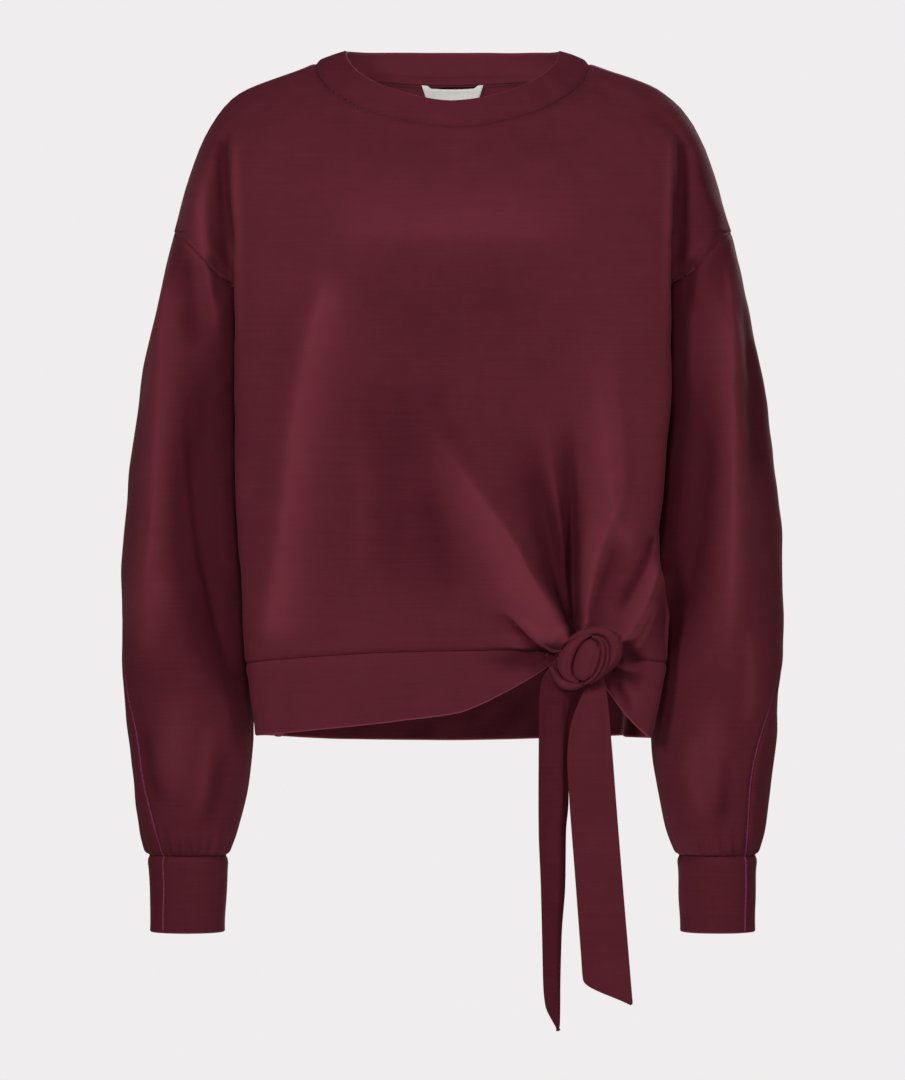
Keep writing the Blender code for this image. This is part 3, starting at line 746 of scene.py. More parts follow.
@dataclass(frozen=True)
class FoldPlan:
    """All folds of the garment, large ones first, and where the knot draws the cloth in."""

    front: tuple[Fold, ...]
    back: tuple[Fold, ...]
    depth: float = 1.0
    direction: tuple[float, float, float] = (0.4, 1.0, 0.4)
    pinch: float = 4.0
    pinch_width: float = 22.0
    pinch_at: tuple[float, float] = (105.3, -473.0)
    turning: float = 0.45  # how far a normal faces front where the front folds are full

    def heights(self, points: Array, normals: Array) -> Array:
        """How far the folds move each point along its normal.

        Args:
            points: a grid of points.
            normals: their normals, which say whether they face front or back.

        Returns:
            One height for each point.
        """
        flat = points[..., (0, 2)].reshape(-1, 2)
        facing = normals[..., 1]
        ahead, behind = smooth_step(-facing / self.turning), smooth_step(facing / self.turning)
        front = self.depth * sum(fold.heights(flat) for fold in self.front)
        back = self.depth * sum(fold.heights(flat) for fold in self.back)
        apart = np.hypot(flat[:, 0] - self.pinch_at[0], flat[:, 1] - self.pinch_at[1])
        front = front - self.pinch * np.exp(-((apart / self.pinch_width) ** 2))
        shape = points.shape[:-1]
        return ahead * front.reshape(shape) + behind * back.reshape(shape)


LARGE_FRONT_FOLDS = rows_of(
    Fold,
    (6.5, 14, 0.04, 0.5, ((94, -463), (82, -444), (62, -412), (44, -381), (18, -347), (-8, -312),
     (-42, -258)), 21, 0.6),
    (-6, 10, 0.04, 0.6, ((93, -450), (84, -416), (72, -370), (58, -322), (46, -276)), 20, 0.0),
    (-2, 7, 0.1, 0.7, ((84, -472), (64, -459), (45, -447), (30, -438), (14, -430))),
    (-2.4, 8, 0.1, 0.5, ((80, -472), (41, -474), (10, -472))),
    (-5, 5, 0.04, 0.6, ((98.5, -458), (96.5, -420), (95, -380), (93.5, -330), (92, -270)), 8),
    (3.4, 9, 0.05, 0.3, ((106, -458), (113, -412), (125, -368), (132, -330), (127, -270),
     (118, -200)), 12, 0.3),
    (3.4, 9, 0.2, 0.2, ((168, -398), (160, -424), (150, -444), (132, -462))),
    (1.8, 12, 0.3, 0.4, ((122, -345), (132, -360), (140, -378), (143, -398))),
    (7, 15, 0.2, 0.1, ((-97, -166), (-108, -210), (-119, -262), (-129, -330), (-137, -400),
     (-148, -470)), 15, 0.4),
    (-4, 52, 0.4, 0.4, ((-44, -210), (-36, -300), (-30, -380), (-34, -455))),
    (2.6, 24, 0.3, 0.3, ((-120, -136), (-80, -138), (-30, -139), (30, -139), (80, -138),
     (116, -136)), None, 0.45),
    (-2.2, 40, 0.35, 0.35, ((-100, -205), (-30, -205), (30, -205), (112, -205))),
    (4, 12, 0.3, 0.4, ((-196, -76), (-200, -120), (-196, -165), (-192, -201), (-184, -250))),
    (-4, 13, 0.3, 0.3, ((-210, -150), (-208, -190), (-206, -240))),
    (7, 13, 0.2, 0.2, ((-222, -150), (-227, -200), (-231, -269), (-235, -363), (-244, -427), (-255, -470))),
    (-8, 20, 0.25, 0.3, ((-196, -222), (-200, -300), (-198, -370), (-189, -430), (-176, -480),
     (-164, -515)), 16, -0.3),
    (-3, 16, 0.3, 0.3, ((200, -70), (204, -110), (202, -160))),
    (7, 13, 0.2, 0.3, ((217, -165), (220, -238), (222, -308), (221, -409), (214, -501))),
    (-6, 17, 0.25, 0.25, ((192, -226), (192, -320), (186, -382), (176, -427), (162, -488)), 14, 0.3),
    (-5.5, 11, 0.3, 0.5, ((233, -190), (239, -250), (241, -310), (242, -360))),
    (4, 16, 0.4, 0.4, ((-210, -500), (-222, -545), (-226, -590))),
    (4, 15, 0.4, 0.4, ((196, -510), (204, -550), (214, -596))),
)
FINE_FRONT_FOLDS = rows_of(
    Fold,
    # the roll that runs up to the left from the knot, and the creases beside it
    (5.0, 5.0, 0.03, 0.7, ((95, -463), (91, -459), (84.8, -446), (63, -412), (45.7, -381), (20, -347),
     (-6.6, -312), (-30, -281)), 13, 0.6, 1.5),
    (-5.0, 3.0, 0.03, 0.5, ((86, -474), (81, -472), (73.5, -468), (61, -459), (46, -446),
     (36, -436)), 3.4, 0.5, 1.4),
    (2.2, 5.0, 0.1, 0.5, ((82, -463), (66, -451), (52, -439), (40, -428)), 7, 0.0),
    (1.6, 5.0, 0.1, 0.5, ((80, -477), (64, -468), (48, -458), (34, -448)), 7, 0.0),
    (-5.0, 6.5, 0.05, 0.6, ((86, -471), (74, -471.5), (60, -474), (44, -478), (28, -482)), 7),
    (-2.5, 3.4, 0.1, 0.5, ((84, -470), (70, -468), (54, -467), (36, -466)), 5, 0.0, 1.6),
    # the pleats above it
    (-10, 4.6, 0.03, 0.8, ((94, -459), (89.5, -440), (83, -408), (75, -366), (67, -322),
     (61, -285)), 16, -0.3, 1.6),
    (5.0, 3.2, 0.03, 0.6, ((96.3, -458), (92.8, -438), (87, -386), (80, -342), (75.4, -308),
     (73, -270)), 9, 0.4, 1.5),
    (-8.0, 3.0, 0.03, 0.7, ((99, -460), (97.6, -446), (95.6, -400), (94, -360), (92.6, -310),
     (92, -270)), 7, 0.5, 1.5),
    (2.4, 3.6, 0.03, 0.6, ((101, -460), (101, -440), (101.5, -400), (102, -360)), 8, -0.5, 1.6),
    (4.5, 4.6, 0.03, 0.5, ((104, -458), (104, -442), (108, -417), (115.5, -386), (124.5, -356),
     (120, -312), (114, -260), (112, -215)), 12, 0.4, 1.5),
    (-3.5, 5.0, 0.05, 0.5, ((108, -454), (111, -436), (117, -412), (126, -390), (136, -368)), 10, 0.0, 1.7),
    (2.2, 5.0, 0.3, 0.4, ((124.5, -356), (131, -368), (139, -384), (144, -402)), 7, 0.0, 1.7),
    # the folds that come in from the right
    (-3.8, 2.4, 0.1, 0.4, ((160, -376), (155, -392), (148, -407), (141, -420), (134, -433),
     (128, -444)), 3.4, -0.6, 1.4),
    (4.6, 4.0, 0.06, 0.4, ((128, -463), (138, -453), (148, -437), (156, -418), (161, -401),
     (164, -386)), 5.4, 0.6, 1.4),
    (-3.4, 3.4, 0.06, 0.5, ((130, -468), (143, -460), (153, -446), (161, -427), (165, -410)), 4.4, -0.3, 1.5),
    (2.4, 4.0, 0.2, 0.3, ((140, -470), (150, -458), (158, -440), (162, -426)), 5, 0.5, 1.6),
    (-5.0, 4.5, 0.06, 0.5, ((126, -470), (135, -472), (146, -474), (156, -477)), 7, 0.0, 1.6),
    (-4.0, 5.0, 0.1, 0.5, ((122, -480), (133, -486), (144, -492), (152, -500)), 7, 0.0, 1.7),
    (2.6, 5.0, 0.1, 0.4, ((126, -476), (138, -481), (150, -486)), 7),
    (-3.5, 4.0, 0.15, 0.4, ((127, -492), (134, -503), (142, -519)), 6, 0.4, 1.6),
    (2.4, 5.0, 0.15, 0.4, ((132, -490), (140, -502), (148, -517)), 6),
    # the soft unevenness of the rest
    (2.4, 6.0, 0.2, 0.15, ((-97, -170), (-108, -212), (-119, -262), (-129, -330), (-137, -400),
     (-147, -466)), None, 0.5, 1.5),
    (1.2, 9.0, 0.3, 0.4, ((-72, -300), (-70, -360), (-76, -420))),
    (-1.2, 9.0, 0.3, 0.4, ((-22, -330), (-10, -390), (4, -436))),
    (2.4, 4.0, 0.2, 0.5, ((-174, -52), (-173, -74), (-171.5, -103), (-169.5, -150), (-168.5, -200),
     (-168, -260))),
    (-4.0, 4.6, 0.15, 0.5, ((-183, -58), (-182, -80), (-180.5, -108), (-178, -150), (-176, -200))),
    (2.4, 4.0, 0.2, 0.5, ((174, -52), (173, -74), (171.5, -103), (170, -150), (169, -200), (168, -260))),
    (-4.0, 4.6, 0.15, 0.5, ((183, -58), (182, -80), (181, -108), (179, -150), (177, -200))),
    (1.6, 6.0, 0.3, 0.4, ((-205, -136), (-203, -162), (-201, -198), (-196, -230))),
    (-2.0, 5.0, 0.3, 0.4, ((-190, -150), (-186, -176), (-184, -204))),
    (-2.0, 5.0, 0.3, 0.4, ((192, -152), (188, -178), (186, -208))),
    (3.0, 5.0, 0.2, 0.4, ((-223, -150), (-227, -200), (-231, -269), (-235, -363), (-242, -427),
     (-253, -470)), 7, -0.5, 1.5),
    (3.2, 8.0, 0.2, 0.4, ((-229, -405), (-236, -430), (-243, -455), (-247, -490)), 9, 0.3, 1.7),
    (3.0, 5.0, 0.3, 0.4, ((-202, -76), (-200, -120), (-194, -165), (-187, -201), (-180, -244)), 6, 0.4, 1.6),
    (1.6, 5.0, 0.3, 0.4, ((-217, -258), (-214, -305), (-208, -352), (-199, -408), (-186, -455)), 7, 0.3, 1.6),
    (-3.4, 5.0, 0.2, 0.5, ((-209, -275), (-206, -330), (-200, -380), (-188, -430), (-174, -478),
     (-164, -500)), 7, 0.3, 1.6),
    (-2.0, 6.0, 0.3, 0.4, ((-246, -520), (-238, -560), (-228, -600))),
    (1.8, 6.0, 0.3, 0.3, ((-190, -520), (-194, -560), (-202, -602))),
    (-1.6, 6.0, 0.3, 0.3, ((-180, -540), (-186, -580), (-194, -612))),
    (2.0, 6.0, 0.3, 0.3, ((186, -530), (190, -566), (198, -604))),
    (-1.8, 6.0, 0.3, 0.3, ((216, -540), (214, -580), (212, -612))),
    (3.4, 4.4, 0.15, 0.4, ((216, -152), (219, -200), (219, -260), (219, -330), (218, -410),
     (216, -500)), 6, 0.4, 1.5),
    (-3.0, 6.0, 0.2, 0.5, ((231, -160), (235, -220), (239, -280), (241, -340)), 8, 0.2, 1.7),
    (-3.0, 5.0, 0.2, 0.5, ((203, -290), (196, -350), (187, -405), (175, -455), (165, -490)), 7, -0.3, 1.6),
    (2.2, 6.0, 0.3, 0.4, ((233, -440), (236, -490), (232, -540)), 7, 0.3, 1.7),
)
LARGE_BACK_FOLDS = rows_of(
    Fold,
    (5, 15, 0.3, 0.15, ((-100, -180), (-112, -230), (-122, -290), (-131, -360), (-138, -420),
     (-146, -476)), 17, -0.4),
    (-3, 30, 0.45, 0.4, ((-70, -190), (-78, -270), (-86, -350), (-96, -450))),
    (5, 15, 0.3, 0.15, ((98, -190), (110, -250), (122, -320), (134, -390), (146, -460)), 17, 0.4),
    (-3, 30, 0.45, 0.4, ((64, -200), (74, -290), (88, -370), (104, -450))),
    (3, 22, 0.45, 0.2, ((-22, -240), (-20, -320), (-26, -400), (-34, -472))),
    (-2, 26, 0.45, 0.25, ((16, -250), (24, -330), (28, -410), (26, -472))),
    (-2, 30, 0.45, 0.45, ((-84, -110), (-44, -118), (0, -121), (44, -118), (84, -110))),
    (5, 13, 0.25, 0.2, ((-216, -150), (-220, -220), (-226, -300), (-236, -380), (-248, -450)), 14, 0.3),
    (-5, 18, 0.35, 0.35, ((-190, -225), (-195, -300), (-194, -380), (-184, -450), (-168, -510)), 15),
    (5, 13, 0.25, 0.2, ((214, -150), (218, -230), (222, -310), (220, -400), (214, -490)), 14, 0.3),
    (-5, 18, 0.35, 0.35, ((190, -225), (192, -310), (188, -390), (177, -450), (163, -505)), 15),
)
FINE_BACK_FOLDS = rows_of(
    Fold,
    (2.2, 6, 0.2, 0.2, ((-99, -185), (-112, -235), (-122, -292), (-131, -360), (-138, -420),
     (-145, -470)), 8, -0.5, 1.6),
    (2.2, 6, 0.2, 0.2, ((97, -195), (110, -255), (122, -322), (134, -390), (145, -455)), 8, 0.5, 1.6),
    (1.6, 7, 0.3, 0.3, ((-21, -260), (-20, -330), (-27, -405), (-34, -468)), 9, 0.4, 1.7),
    (-1.6, 7, 0.3, 0.4, ((8, -330), (16, -390), (18, -460)), 9),
    (2.0, 5, 0.2, 0.4, ((-174, -60), (-172, -100), (-170, -150), (-168, -220))),
    (2.0, 5, 0.2, 0.4, ((174, -60), (172, -100), (170, -150), (168, -220))),
    (2.6, 5, 0.2, 0.4, ((-214, -155), (-219, -230), (-226, -310), (-236, -390)), 7, 0.4, 1.6),
    (-3.0, 5, 0.2, 0.5, ((-205, -270), (-204, -340), (-196, -410), (-182, -468)), 7, -0.3, 1.6),
    (2.6, 5, 0.2, 0.4, ((213, -160), (218, -240), (221, -330), (218, -420)), 7, -0.4, 1.6),
    (-3.0, 5, 0.2, 0.5, ((203, -280), (198, -350), (188, -420), (174, -476)), 7, 0.3, 1.6),
    (1.8, 6, 0.3, 0.3, ((-230, -440), (-226, -500), (-220, -560))),
    (-1.6, 7, 0.3, 0.3, ((-208, -470), (-206, -530), (-206, -590))),
    (1.8, 6, 0.3, 0.3, ((232, -430), (226, -500), (220, -560))),
    (-1.6, 7, 0.3, 0.3, ((206, -480), (206, -540), (208, -596))),
)


@dataclass(frozen=True)
class Ripple:
    """The small unevenness of cloth that has been worn and folded: a few crossing waves."""

    waves: tuple[tuple[float, float, float, float, float], ...] = (
        # height, and the wave's steps along X, Y and Z in turns a millimetre, then its start
        (0.30, 0.0085, 0.0040, 0.0110, 0.3),
        (0.26, -0.0120, 0.0060, 0.0075, 1.9),
        (0.20, 0.0160, -0.0110, -0.0140, 4.1),
        (0.15, 0.0210, 0.0170, 0.0120, 2.6),
        (0.12, -0.0190, 0.0130, 0.0250, 5.2),
        (0.08, 0.0340, 0.0150, -0.0310, 0.9),
    )

    def heights(self, points: Array) -> Array:
        """The height at each point of a grid.

        Args:
            points: a grid of points.

        Returns:
            One height for each point.
        """
        total = np.zeros(points.shape[:-1])
        for height, *steps, start in self.waves:
            total += height * np.sin(2 * np.pi * (points @ np.array(steps)) + start)
        return total


@dataclass(frozen=True)
class SeamGroove:
    """How the cloth sinks into a sewn seam and swells a little beside it."""

    depth: float = 1.3
    width: float = 2.0
    swell: float = 0.35
    swell_at: float = 5.5
    swell_width: float = 3.5

    def heights(self, patch: Patch) -> Array:
        """The height at each point of a patch.

        Args:
            patch: the patch, which names its seams.

        Returns:
            One height for each point.
        """
        sunk = np.zeros(patch.grid.shape[:2])
        swollen = sunk
        for side in patch.seams:
            far = edge_distance(patch.grid, side)
            sunk = np.maximum(sunk, np.exp(-((far / self.width) ** 2)))
            swollen = np.maximum(swollen, np.exp(-(((far - self.swell_at) / self.swell_width) ** 2)))
        return self.swell * swollen - self.depth * sunk


@dataclass(frozen=True)
class NapRub:
    """Painted shading: a painted highlight along the folds' crests, painted shade in the troughs, and painted
    shade or light on whole pieces.
    """

    large_height: float = 9.0
    fine_height: float = 3.6
    most: float = 0.95
    reverse: float = 0.25  # painted light on the cloth's inside
    edge: float = 0.9  # painted highlight on a folded edge
    # painted shade (below 0) or painted light (above 0) on whole pieces, by the start of their names: deeper
    # sleeves, cuffs, collar and front, a paler back band
    start: tuple[tuple[str, float], ...] = (
        ("sleeve", -0.24),
        ("sleeve_left", -0.08),
        ("cuff", -0.28),
        ("collar", -0.16),
        ("front_body", -0.05),
        ("band_back", 0.1),
    )

    def shades(self, name: str, large: Array, fine: Array) -> Array:
        """The painted shading at each point, from below 0 for painted shade to above 0 for painted light.

        Args:
            name: the piece, which sets its painted shade or light, as on the deeper sleeves.
            large: how far the large folds move each point.
            fine: how far the fine folds move it.

        Returns:
            The changes.
        """
        start = sum(shade for word, shade in self.start if name.startswith(word))
        return start + self.most * np.tanh(large / self.large_height + fine / self.fine_height)


# ---------------------------------------------------------------- neck and bodice


@dataclass(frozen=True)
class NeckLine:
    """A ring round the neck: half an oval in front and half behind."""

    half_width: float
    front_y: float
    front_z: float
    side_y: float
    side_z: float
    back_y: float
    back_z: float
    rise_power: float = 0.85  # below 1 for a rounder middle

    def points(self, degrees: Array, face: Face) -> Array:
        """Points of the ring.

        Args:
            degrees: 0 at the middle and 90 at the shoulder.
            face: the half that is wanted.

        Returns:
            The points.
        """
        centre_y, centre_z = (
            (self.front_y, self.front_z) if face is Face.FRONT else (self.back_y, self.back_z)
        )
        angle = np.radians(degrees)
        rise = np.abs(1 - np.cos(angle)) ** self.rise_power
        return np.stack(
            [
                self.half_width * np.sin(angle),
                self.side_y + (centre_y - self.side_y) * np.cos(angle),
                centre_z + (self.side_z - centre_z) * rise,
            ],
            axis=-1,
        )


@dataclass(frozen=True)
class BodyRow:
    """One section of a body panel, from its middle over the chest to the arm."""

    row: float
    centre_z: float
    centre_y: float
    mid_x: float
    mid_y: float
    edge_x: float
    edge_y: float
    tuck_x: float
    tuck_y: float
    arm_x: float
    arm_y: float


@dataclass(frozen=True)
class SeamRow:
    """A point of a seam."""

    row: float
    x: float
    y: float
    z: float


@dataclass(frozen=True)
class ArmholeRow:
    """A point of the armhole, on the front and on the back."""

    row: float
    front_x: float
    front_y: float
    back_x: float
    back_y: float
    z: float


@dataclass(frozen=True)
class EdgeRow:
    """How far the folds beside the arms stand from the sections, towards +X."""

    z: float
    left: float
    right: float


@dataclass
class Bodice:
    """The front and the back, which run over the shoulder into the top of the arm."""

    neck: NeckLine = NeckLine(109.0, -78.0, -55.0, -6.0, 0.0, 54.0, -12.0)
    shoulder_row: int = 6
    underarm_row: int = 18
    wall: float = 2.0
    row_steps: Steps = ((0, 6, 4), (6, 18, 6), (18, 23, 5), (23, 31, 8))
    front_steps: Steps = ((0, 8, 4), (8, 21, 5), (21, 33, 9), (33, 40, 4))
    back_steps: Steps = ((0, 28, 6),)
    hollow_share: float = 0.2
    hollow_depth: float = 6.0
    height_shares: tuple[float, ...] = (0.0, 0.15, 0.55, 0.68, 0.74, 0.87, 1.0)
    neck_angles: tuple[float, ...] = (0.0, 31.0, 54.0, 62.0, 67.0, 76.0, 90.0)
    front_places: tuple[int, ...] = (0, 3, 5, 6, 8, 13, 18, 25, 32, 34, 35, 37, 40)
    back_places: tuple[int, ...] = (0, 3, 5, 6, 8, 11, 14, 17, 20, 22, 23, 25, 28)
    front_rows: tuple[BodyRow, ...] = rows_of(
        BodyRow,
        (2, -80, -96, 64, -88, 116, -60, 127, -47, 138, -29),
        (3, -92, -103, 78, -96, 150, -62, 157, -50, 165, -31),
        (4, -104, -109, 84, -102, 170, -66, 176, -54, 186, -37),
        (5, -116, -114, 86, -107, 173, -73, 175, -62, 197, -53),
        (6, -128, -118, 87, -111, 173, -78, 171, -65, 205, -62),
        (8, -148, -121, 88, -114, 172, -81, 167, -64, 198, -65),
        (10, -167, -122, 88, -115, 172, -83, 165, -63, 187, -66),
        (12, -186, -122, 88, -115, 171, -84, 162, -62, 176, -59),
        (14, -206, -121, 88, -114, 171, -84, 159, -61, 165, -52),
        (16, -226, -120, 88, -113, 171, -84, 156, -60, 153, -43),
        (18, -245, -119, 88, -112, 171, -83, 153, -58, 147, -30),
        (22, -312, -116, 88, -109, 171, -82, 151, -57, 144, -28),
        (26, -385, -112, 87, -106, 168, -80, 150, -55, 144, -27),
        (31, -468, -109, 84, -103, 162, -77, 149, -53, 144, -25),
    )
    back_rows: tuple[BodyRow, ...] = rows_of(
        BodyRow,
        (2, -30, 72, 64, 66, 116, 45, 127, 36, 138, 22), (3, -45, 81, 78, 76, 148, 52, 157, 41, 165, 24),
        (4, -62, 90, 84, 85, 168, 62, 176, 50, 186, 37), (5, -82, 97, 86, 93, 171, 72, 178, 60, 198, 54),
        (6, -102, 103, 87, 99, 171, 79, 174, 66, 206, 65),
        (8, -128, 108, 88, 104, 170, 84, 170, 71, 199, 67),
        (10, -152, 110, 88, 106, 169, 85, 167, 69, 188, 67),
        (12, -176, 111, 88, 107, 168, 85, 164, 67, 177, 63),
        (14, -200, 111, 88, 106, 168, 84, 161, 64, 166, 55),
        (16, -223, 110, 88, 105, 168, 83, 157, 61, 153, 44),
        (18, -245, 109, 88, 104, 168, 82, 153, 58, 147, 30),
        (22, -312, 106, 88, 101, 167, 80, 151, 56, 144, 28),
        (26, -385, 103, 87, 98, 164, 78, 150, 54, 144, 27),
        (31, -476, 100, 84, 95, 158, 74, 148, 50, 144, 25),
    )
    shoulder_seam: tuple[SeamRow, ...] = rows_of(
        SeamRow,
        (0, 109, -6, 0), (2, 144, -8, -13), (3, 170, -6, -25), (4, 193, -1, -50), (5, 210, 4, -90),
        (6, 223, 8, -134),
    )
    side_seam: tuple[SeamRow, ...] = rows_of(
        SeamRow,
        (18, 149, 0, -213), (19.5, 145, 0, -240), (22, 143, 0, -300), (31, 143, 0, -488),
    )
    armhole: tuple[ArmholeRow, ...] = rows_of(
        ArmholeRow,
        (6, 223, 8, 223, 8, -134), (7.5, 219, -37, 220, 42, -139), (9, 209, -58, 210, 62, -147),
        (11, 197, -65, 198, 68, -160), (13, 184, -63, 186, 66, -172), (15, 168, -49, 170, 53, -184),
        (16.5, 156, -26, 157, 28, -200), (18, 149, 0, 149, 0, -213),
    )
    edge_shift: tuple[EdgeRow, ...] = rows_of(
        EdgeRow,
        (-60, 0, 0), (-150, 3, 0), (-260, 3, 0), (-335, 3, -5), (-372, 3, -7), (-402, 5, -3),
        (-440, 6.5, 4), (-490, 8.5, 6),
    )

    def rows(self) -> Array:
        """The fine rows of both panels."""
        return fine_places(*self.row_steps)

    def hole(self) -> slice:
        """The fine rows that run down the armhole.

        Returns:
            The range of rows, both ends included.
        """
        rows = self.rows()
        first = int(np.searchsorted(rows, self.shoulder_row))
        last = int(np.searchsorted(rows, self.underarm_row))
        return slice(first, last + 1)

    def seam_end(self, rows: Array, face: Face) -> Array:
        """Where a panel ends at each row: shoulder seam, armhole, then side seam.

        Args:
            rows: the fine rows.
            face: front or back.

        Returns:
            One point for each row.
        """
        ends = np.zeros((len(rows), 3))
        word = face.value
        parts = (
            (self.shoulder_seam, ("x", "y", "z"), rows <= self.shoulder_row),
            (
                self.armhole,
                (f"{word}_x", f"{word}_y", "z"),
                (rows > self.shoulder_row) & (rows < self.underarm_row),
            ),
            (self.side_seam, ("x", "y", "z"), rows >= self.underarm_row),
        )
        for points, names, chosen in parts:
            at = table(points, "row")[:, 0]
            ends[chosen] = smooth_through(at, table(points, *names), rows[chosen])
        return ends

    def half(self, face: Face) -> Array:
        """The section points of every fine row, from the middle to the right seam.

        Args:
            face: front or back.

        Returns:
            Rows by section points.
        """
        sections = self.front_rows if face is Face.FRONT else self.back_rows
        turn = 1 if face is Face.FRONT else -1
        tuck = table(sections, "tuck_x", "tuck_y")
        arm = table(sections, "arm_x", "arm_y")
        hollow = np.stack(
            [
                tuck[:, 0] + self.hollow_share * (arm[:, 0] - tuck[:, 0]),
                tuck[:, 1] + turn * self.hollow_depth,
            ],
            axis=-1,
        )
        centre = table(sections, "centre_y")
        place = np.stack(
            [
                np.concatenate([np.zeros_like(centre), centre], axis=1),
                table(sections, "mid_x", "mid_y"),
                table(sections, "edge_x", "edge_y"),
                tuck,
                hollow,
                arm,
            ],
            axis=1,
        )
        neck = self.neck.points(np.array(self.neck_angles), face)
        rows = self.rows()
        at = np.concatenate([[0.0], table(sections, "row")[:, 0]])
        count = place.shape[1]
        plan = smooth_through(at, np.concatenate([neck[None, :count, :2], place]), rows)
        middle = np.concatenate([neck[:1, 2], table(sections, "centre_z")[:, 0]])
        middle = smooth_through(at, middle, rows)
        ends = self.seam_end(rows, face)
        half = np.zeros((len(rows), count + 1, 3))
        half[:, :count, :2] = plan
        half[:, count, :2] = ends[:, :2]
        shares = np.array(self.height_shares)
        half[:, :, 2] = middle[:, None] + (ends[:, 2] - middle)[:, None] * shares
        lifted = neck[:, 2] - half[0, :, 2]
        half[:, :, 2] += lifted * np.clip(1 - rows, 0, 1)[:, None]
        return half

    def panel(self, face: Face) -> Array:
        """The outer points of the front or the back, from its first seam to its last.

        Args:
            face: front or back.

        Returns:
            Rows by columns of points.
        """
        other_face = Face.BACK if face is Face.FRONT else Face.FRONT
        half, other = self.half(face), self.half(other_face)
        rows = self.rows()
        round_arm = np.clip(rows - self.shoulder_row, 0, 1) * np.clip(self.underarm_row - rows, 0, 1)
        straight = 2 * half[:, -1:] - half[:, -2:-1]
        beyond = other[:, -2:-1] + (straight - other[:, -2:-1]) * round_arm[:, None, None]
        half = np.concatenate([half, beyond], axis=1)
        left = half[:, :0:-1] * (-1, 1, 1)
        right = half.copy()
        down = -table(self.edge_shift, "z")[:, 0]
        shift = table(self.edge_shift, "left", "right")
        left[:, -3, 0] += np.interp(-left[:, -3, 2], down, shift[:, 0])
        right[:, 2, 0] += np.interp(-right[:, 2, 2], down, shift[:, 1])
        controls = np.concatenate([left, right], axis=1)
        places = self.front_places if face is Face.FRONT else self.back_places
        steps = self.front_steps if face is Face.FRONT else self.back_steps
        first, last = places[1], places[-1]
        at = (-first,) + tuple(places) + (last + first,)
        grid = smooth_through(at, controls.transpose(1, 0, 2), fine_places(*steps), True)
        grid = grid.transpose(1, 0, 2)
        return grid if face is Face.FRONT else grid[:, ::-1]


# ---------------------------------------------------------------- sleeves and cuffs


@dataclass(frozen=True)
class SleeveRow:
    """One ring of a sleeve; the seams are the over-arm seam's angle on either arm."""

    row: float
    z: float
    outer: float
    inner: float
    middle_y: float
    half_depth: float
    seam_left: float
    seam_right: float


@dataclass
class Sleeve:
    """A full two-piece sleeve, gathered a little into its cuff."""

    side: Side
    ring_rows: int = 17
    rows_per: int = 8
    pleat_waves: tuple[tuple[float, int, float], ...] = ((0.9, 17, 0.0), (0.54, 10, 1.3))
    pleat_foot: float = 4.0
    pleat_length: float = 34.0
    sections: tuple[SleeveRow, ...] = rows_of(
        SleeveRow,
        (4, -236, 245, 155, -1, 71, 7, 7), (6, -282, 252, 157, -5, 69, 6, 6),
        (8, -341, 259, 157, -12, 65, 4, 5), (10, -405, 263, 158, -19, 60, 1, 4),
        (12, -469, 263, 158, -26, 55, -12, 0), (14, -533, 258, 158, -32, 49, -30, -43),
        (15, -575, 253, 162, -36, 46, -37, -53), (16, -611, 248, 170, -39, 42, -50, -52),
        (17, -631, 241, 179, -41, 32, -53, -46),
    )

    def rings(self, armhole: Array, shares: Array) -> Array:
        """The outer points, ring by ring, as on a right arm.

        Args:
            armhole: the armhole's points, back half first.
            shares: how far along a half each of its columns stands, from 0 to 1.

        Returns:
            The rings.
        """
        seam = table(self.sections, f"seam_{self.side.word}")
        behind = seam + (180 - seam) * shares
        ahead = 180 + (180 + seam) * (1 - shares[-2::-1])
        angle = np.radians(np.concatenate([behind, ahead], axis=1))
        outer, inner = table(self.sections, "outer"), table(self.sections, "inner")
        rings = np.stack(
            [
                (outer + inner) / 2 + (outer - inner) / 2 * np.cos(angle),
                table(self.sections, "middle_y") + table(self.sections, "half_depth") * np.sin(angle),
                np.broadcast_to(table(self.sections, "z"), angle.shape),
            ],
            axis=-1,
        )
        at = np.concatenate([[0.0], table(self.sections, "row")[:, 0]])
        rows = fine_places((0, self.ring_rows, self.rows_per))
        return smooth_through(at, np.concatenate([armhole[None], rings]), rows)

    def pleating(self, patch: Patch, start: float) -> Array:
        """Small gathers above the cuff's seam.

        Args:
            patch: half of the sleeve.
            start: the turn at which its pleats begin.

        Returns:
            A height for each point.
        """
        far = edge_distance(patch.grid, "bottom")
        turn = 2 * np.pi * (np.linspace(0, 0.5, patch.grid.shape[1]) + start)
        wave = sum(height * np.sin(count * turn + shift) for height, count, shift in self.pleat_waves)
        rise = smooth_step(far / self.pleat_foot) * smooth_step(1 - far / self.pleat_length)
        return rise * wave


@dataclass
class Cuff:
    """A cuff folded double."""

    side: Side
    depth: float = 59.0
    rows: int = 20
    waist: float = 0.045

    def rings(self, top: Array) -> Array:
        """The outer points under the sleeve's last ring.

        Args:
            top: the sleeve's last ring.

        Returns:
            The rings.
        """
        down = fine_places((0, 1, self.rows), near_ends=(0.015,))[:, None, None]
        middle = top.mean(0)
        rings = middle + (top - middle) * (1 - self.waist * np.sin(np.pi * down / 2))
        rings[:, :, 2] = top[:, 2] - self.depth * down[:, :, 0]
        return rings


# ---------------------------------------------------------------- collar and hem band


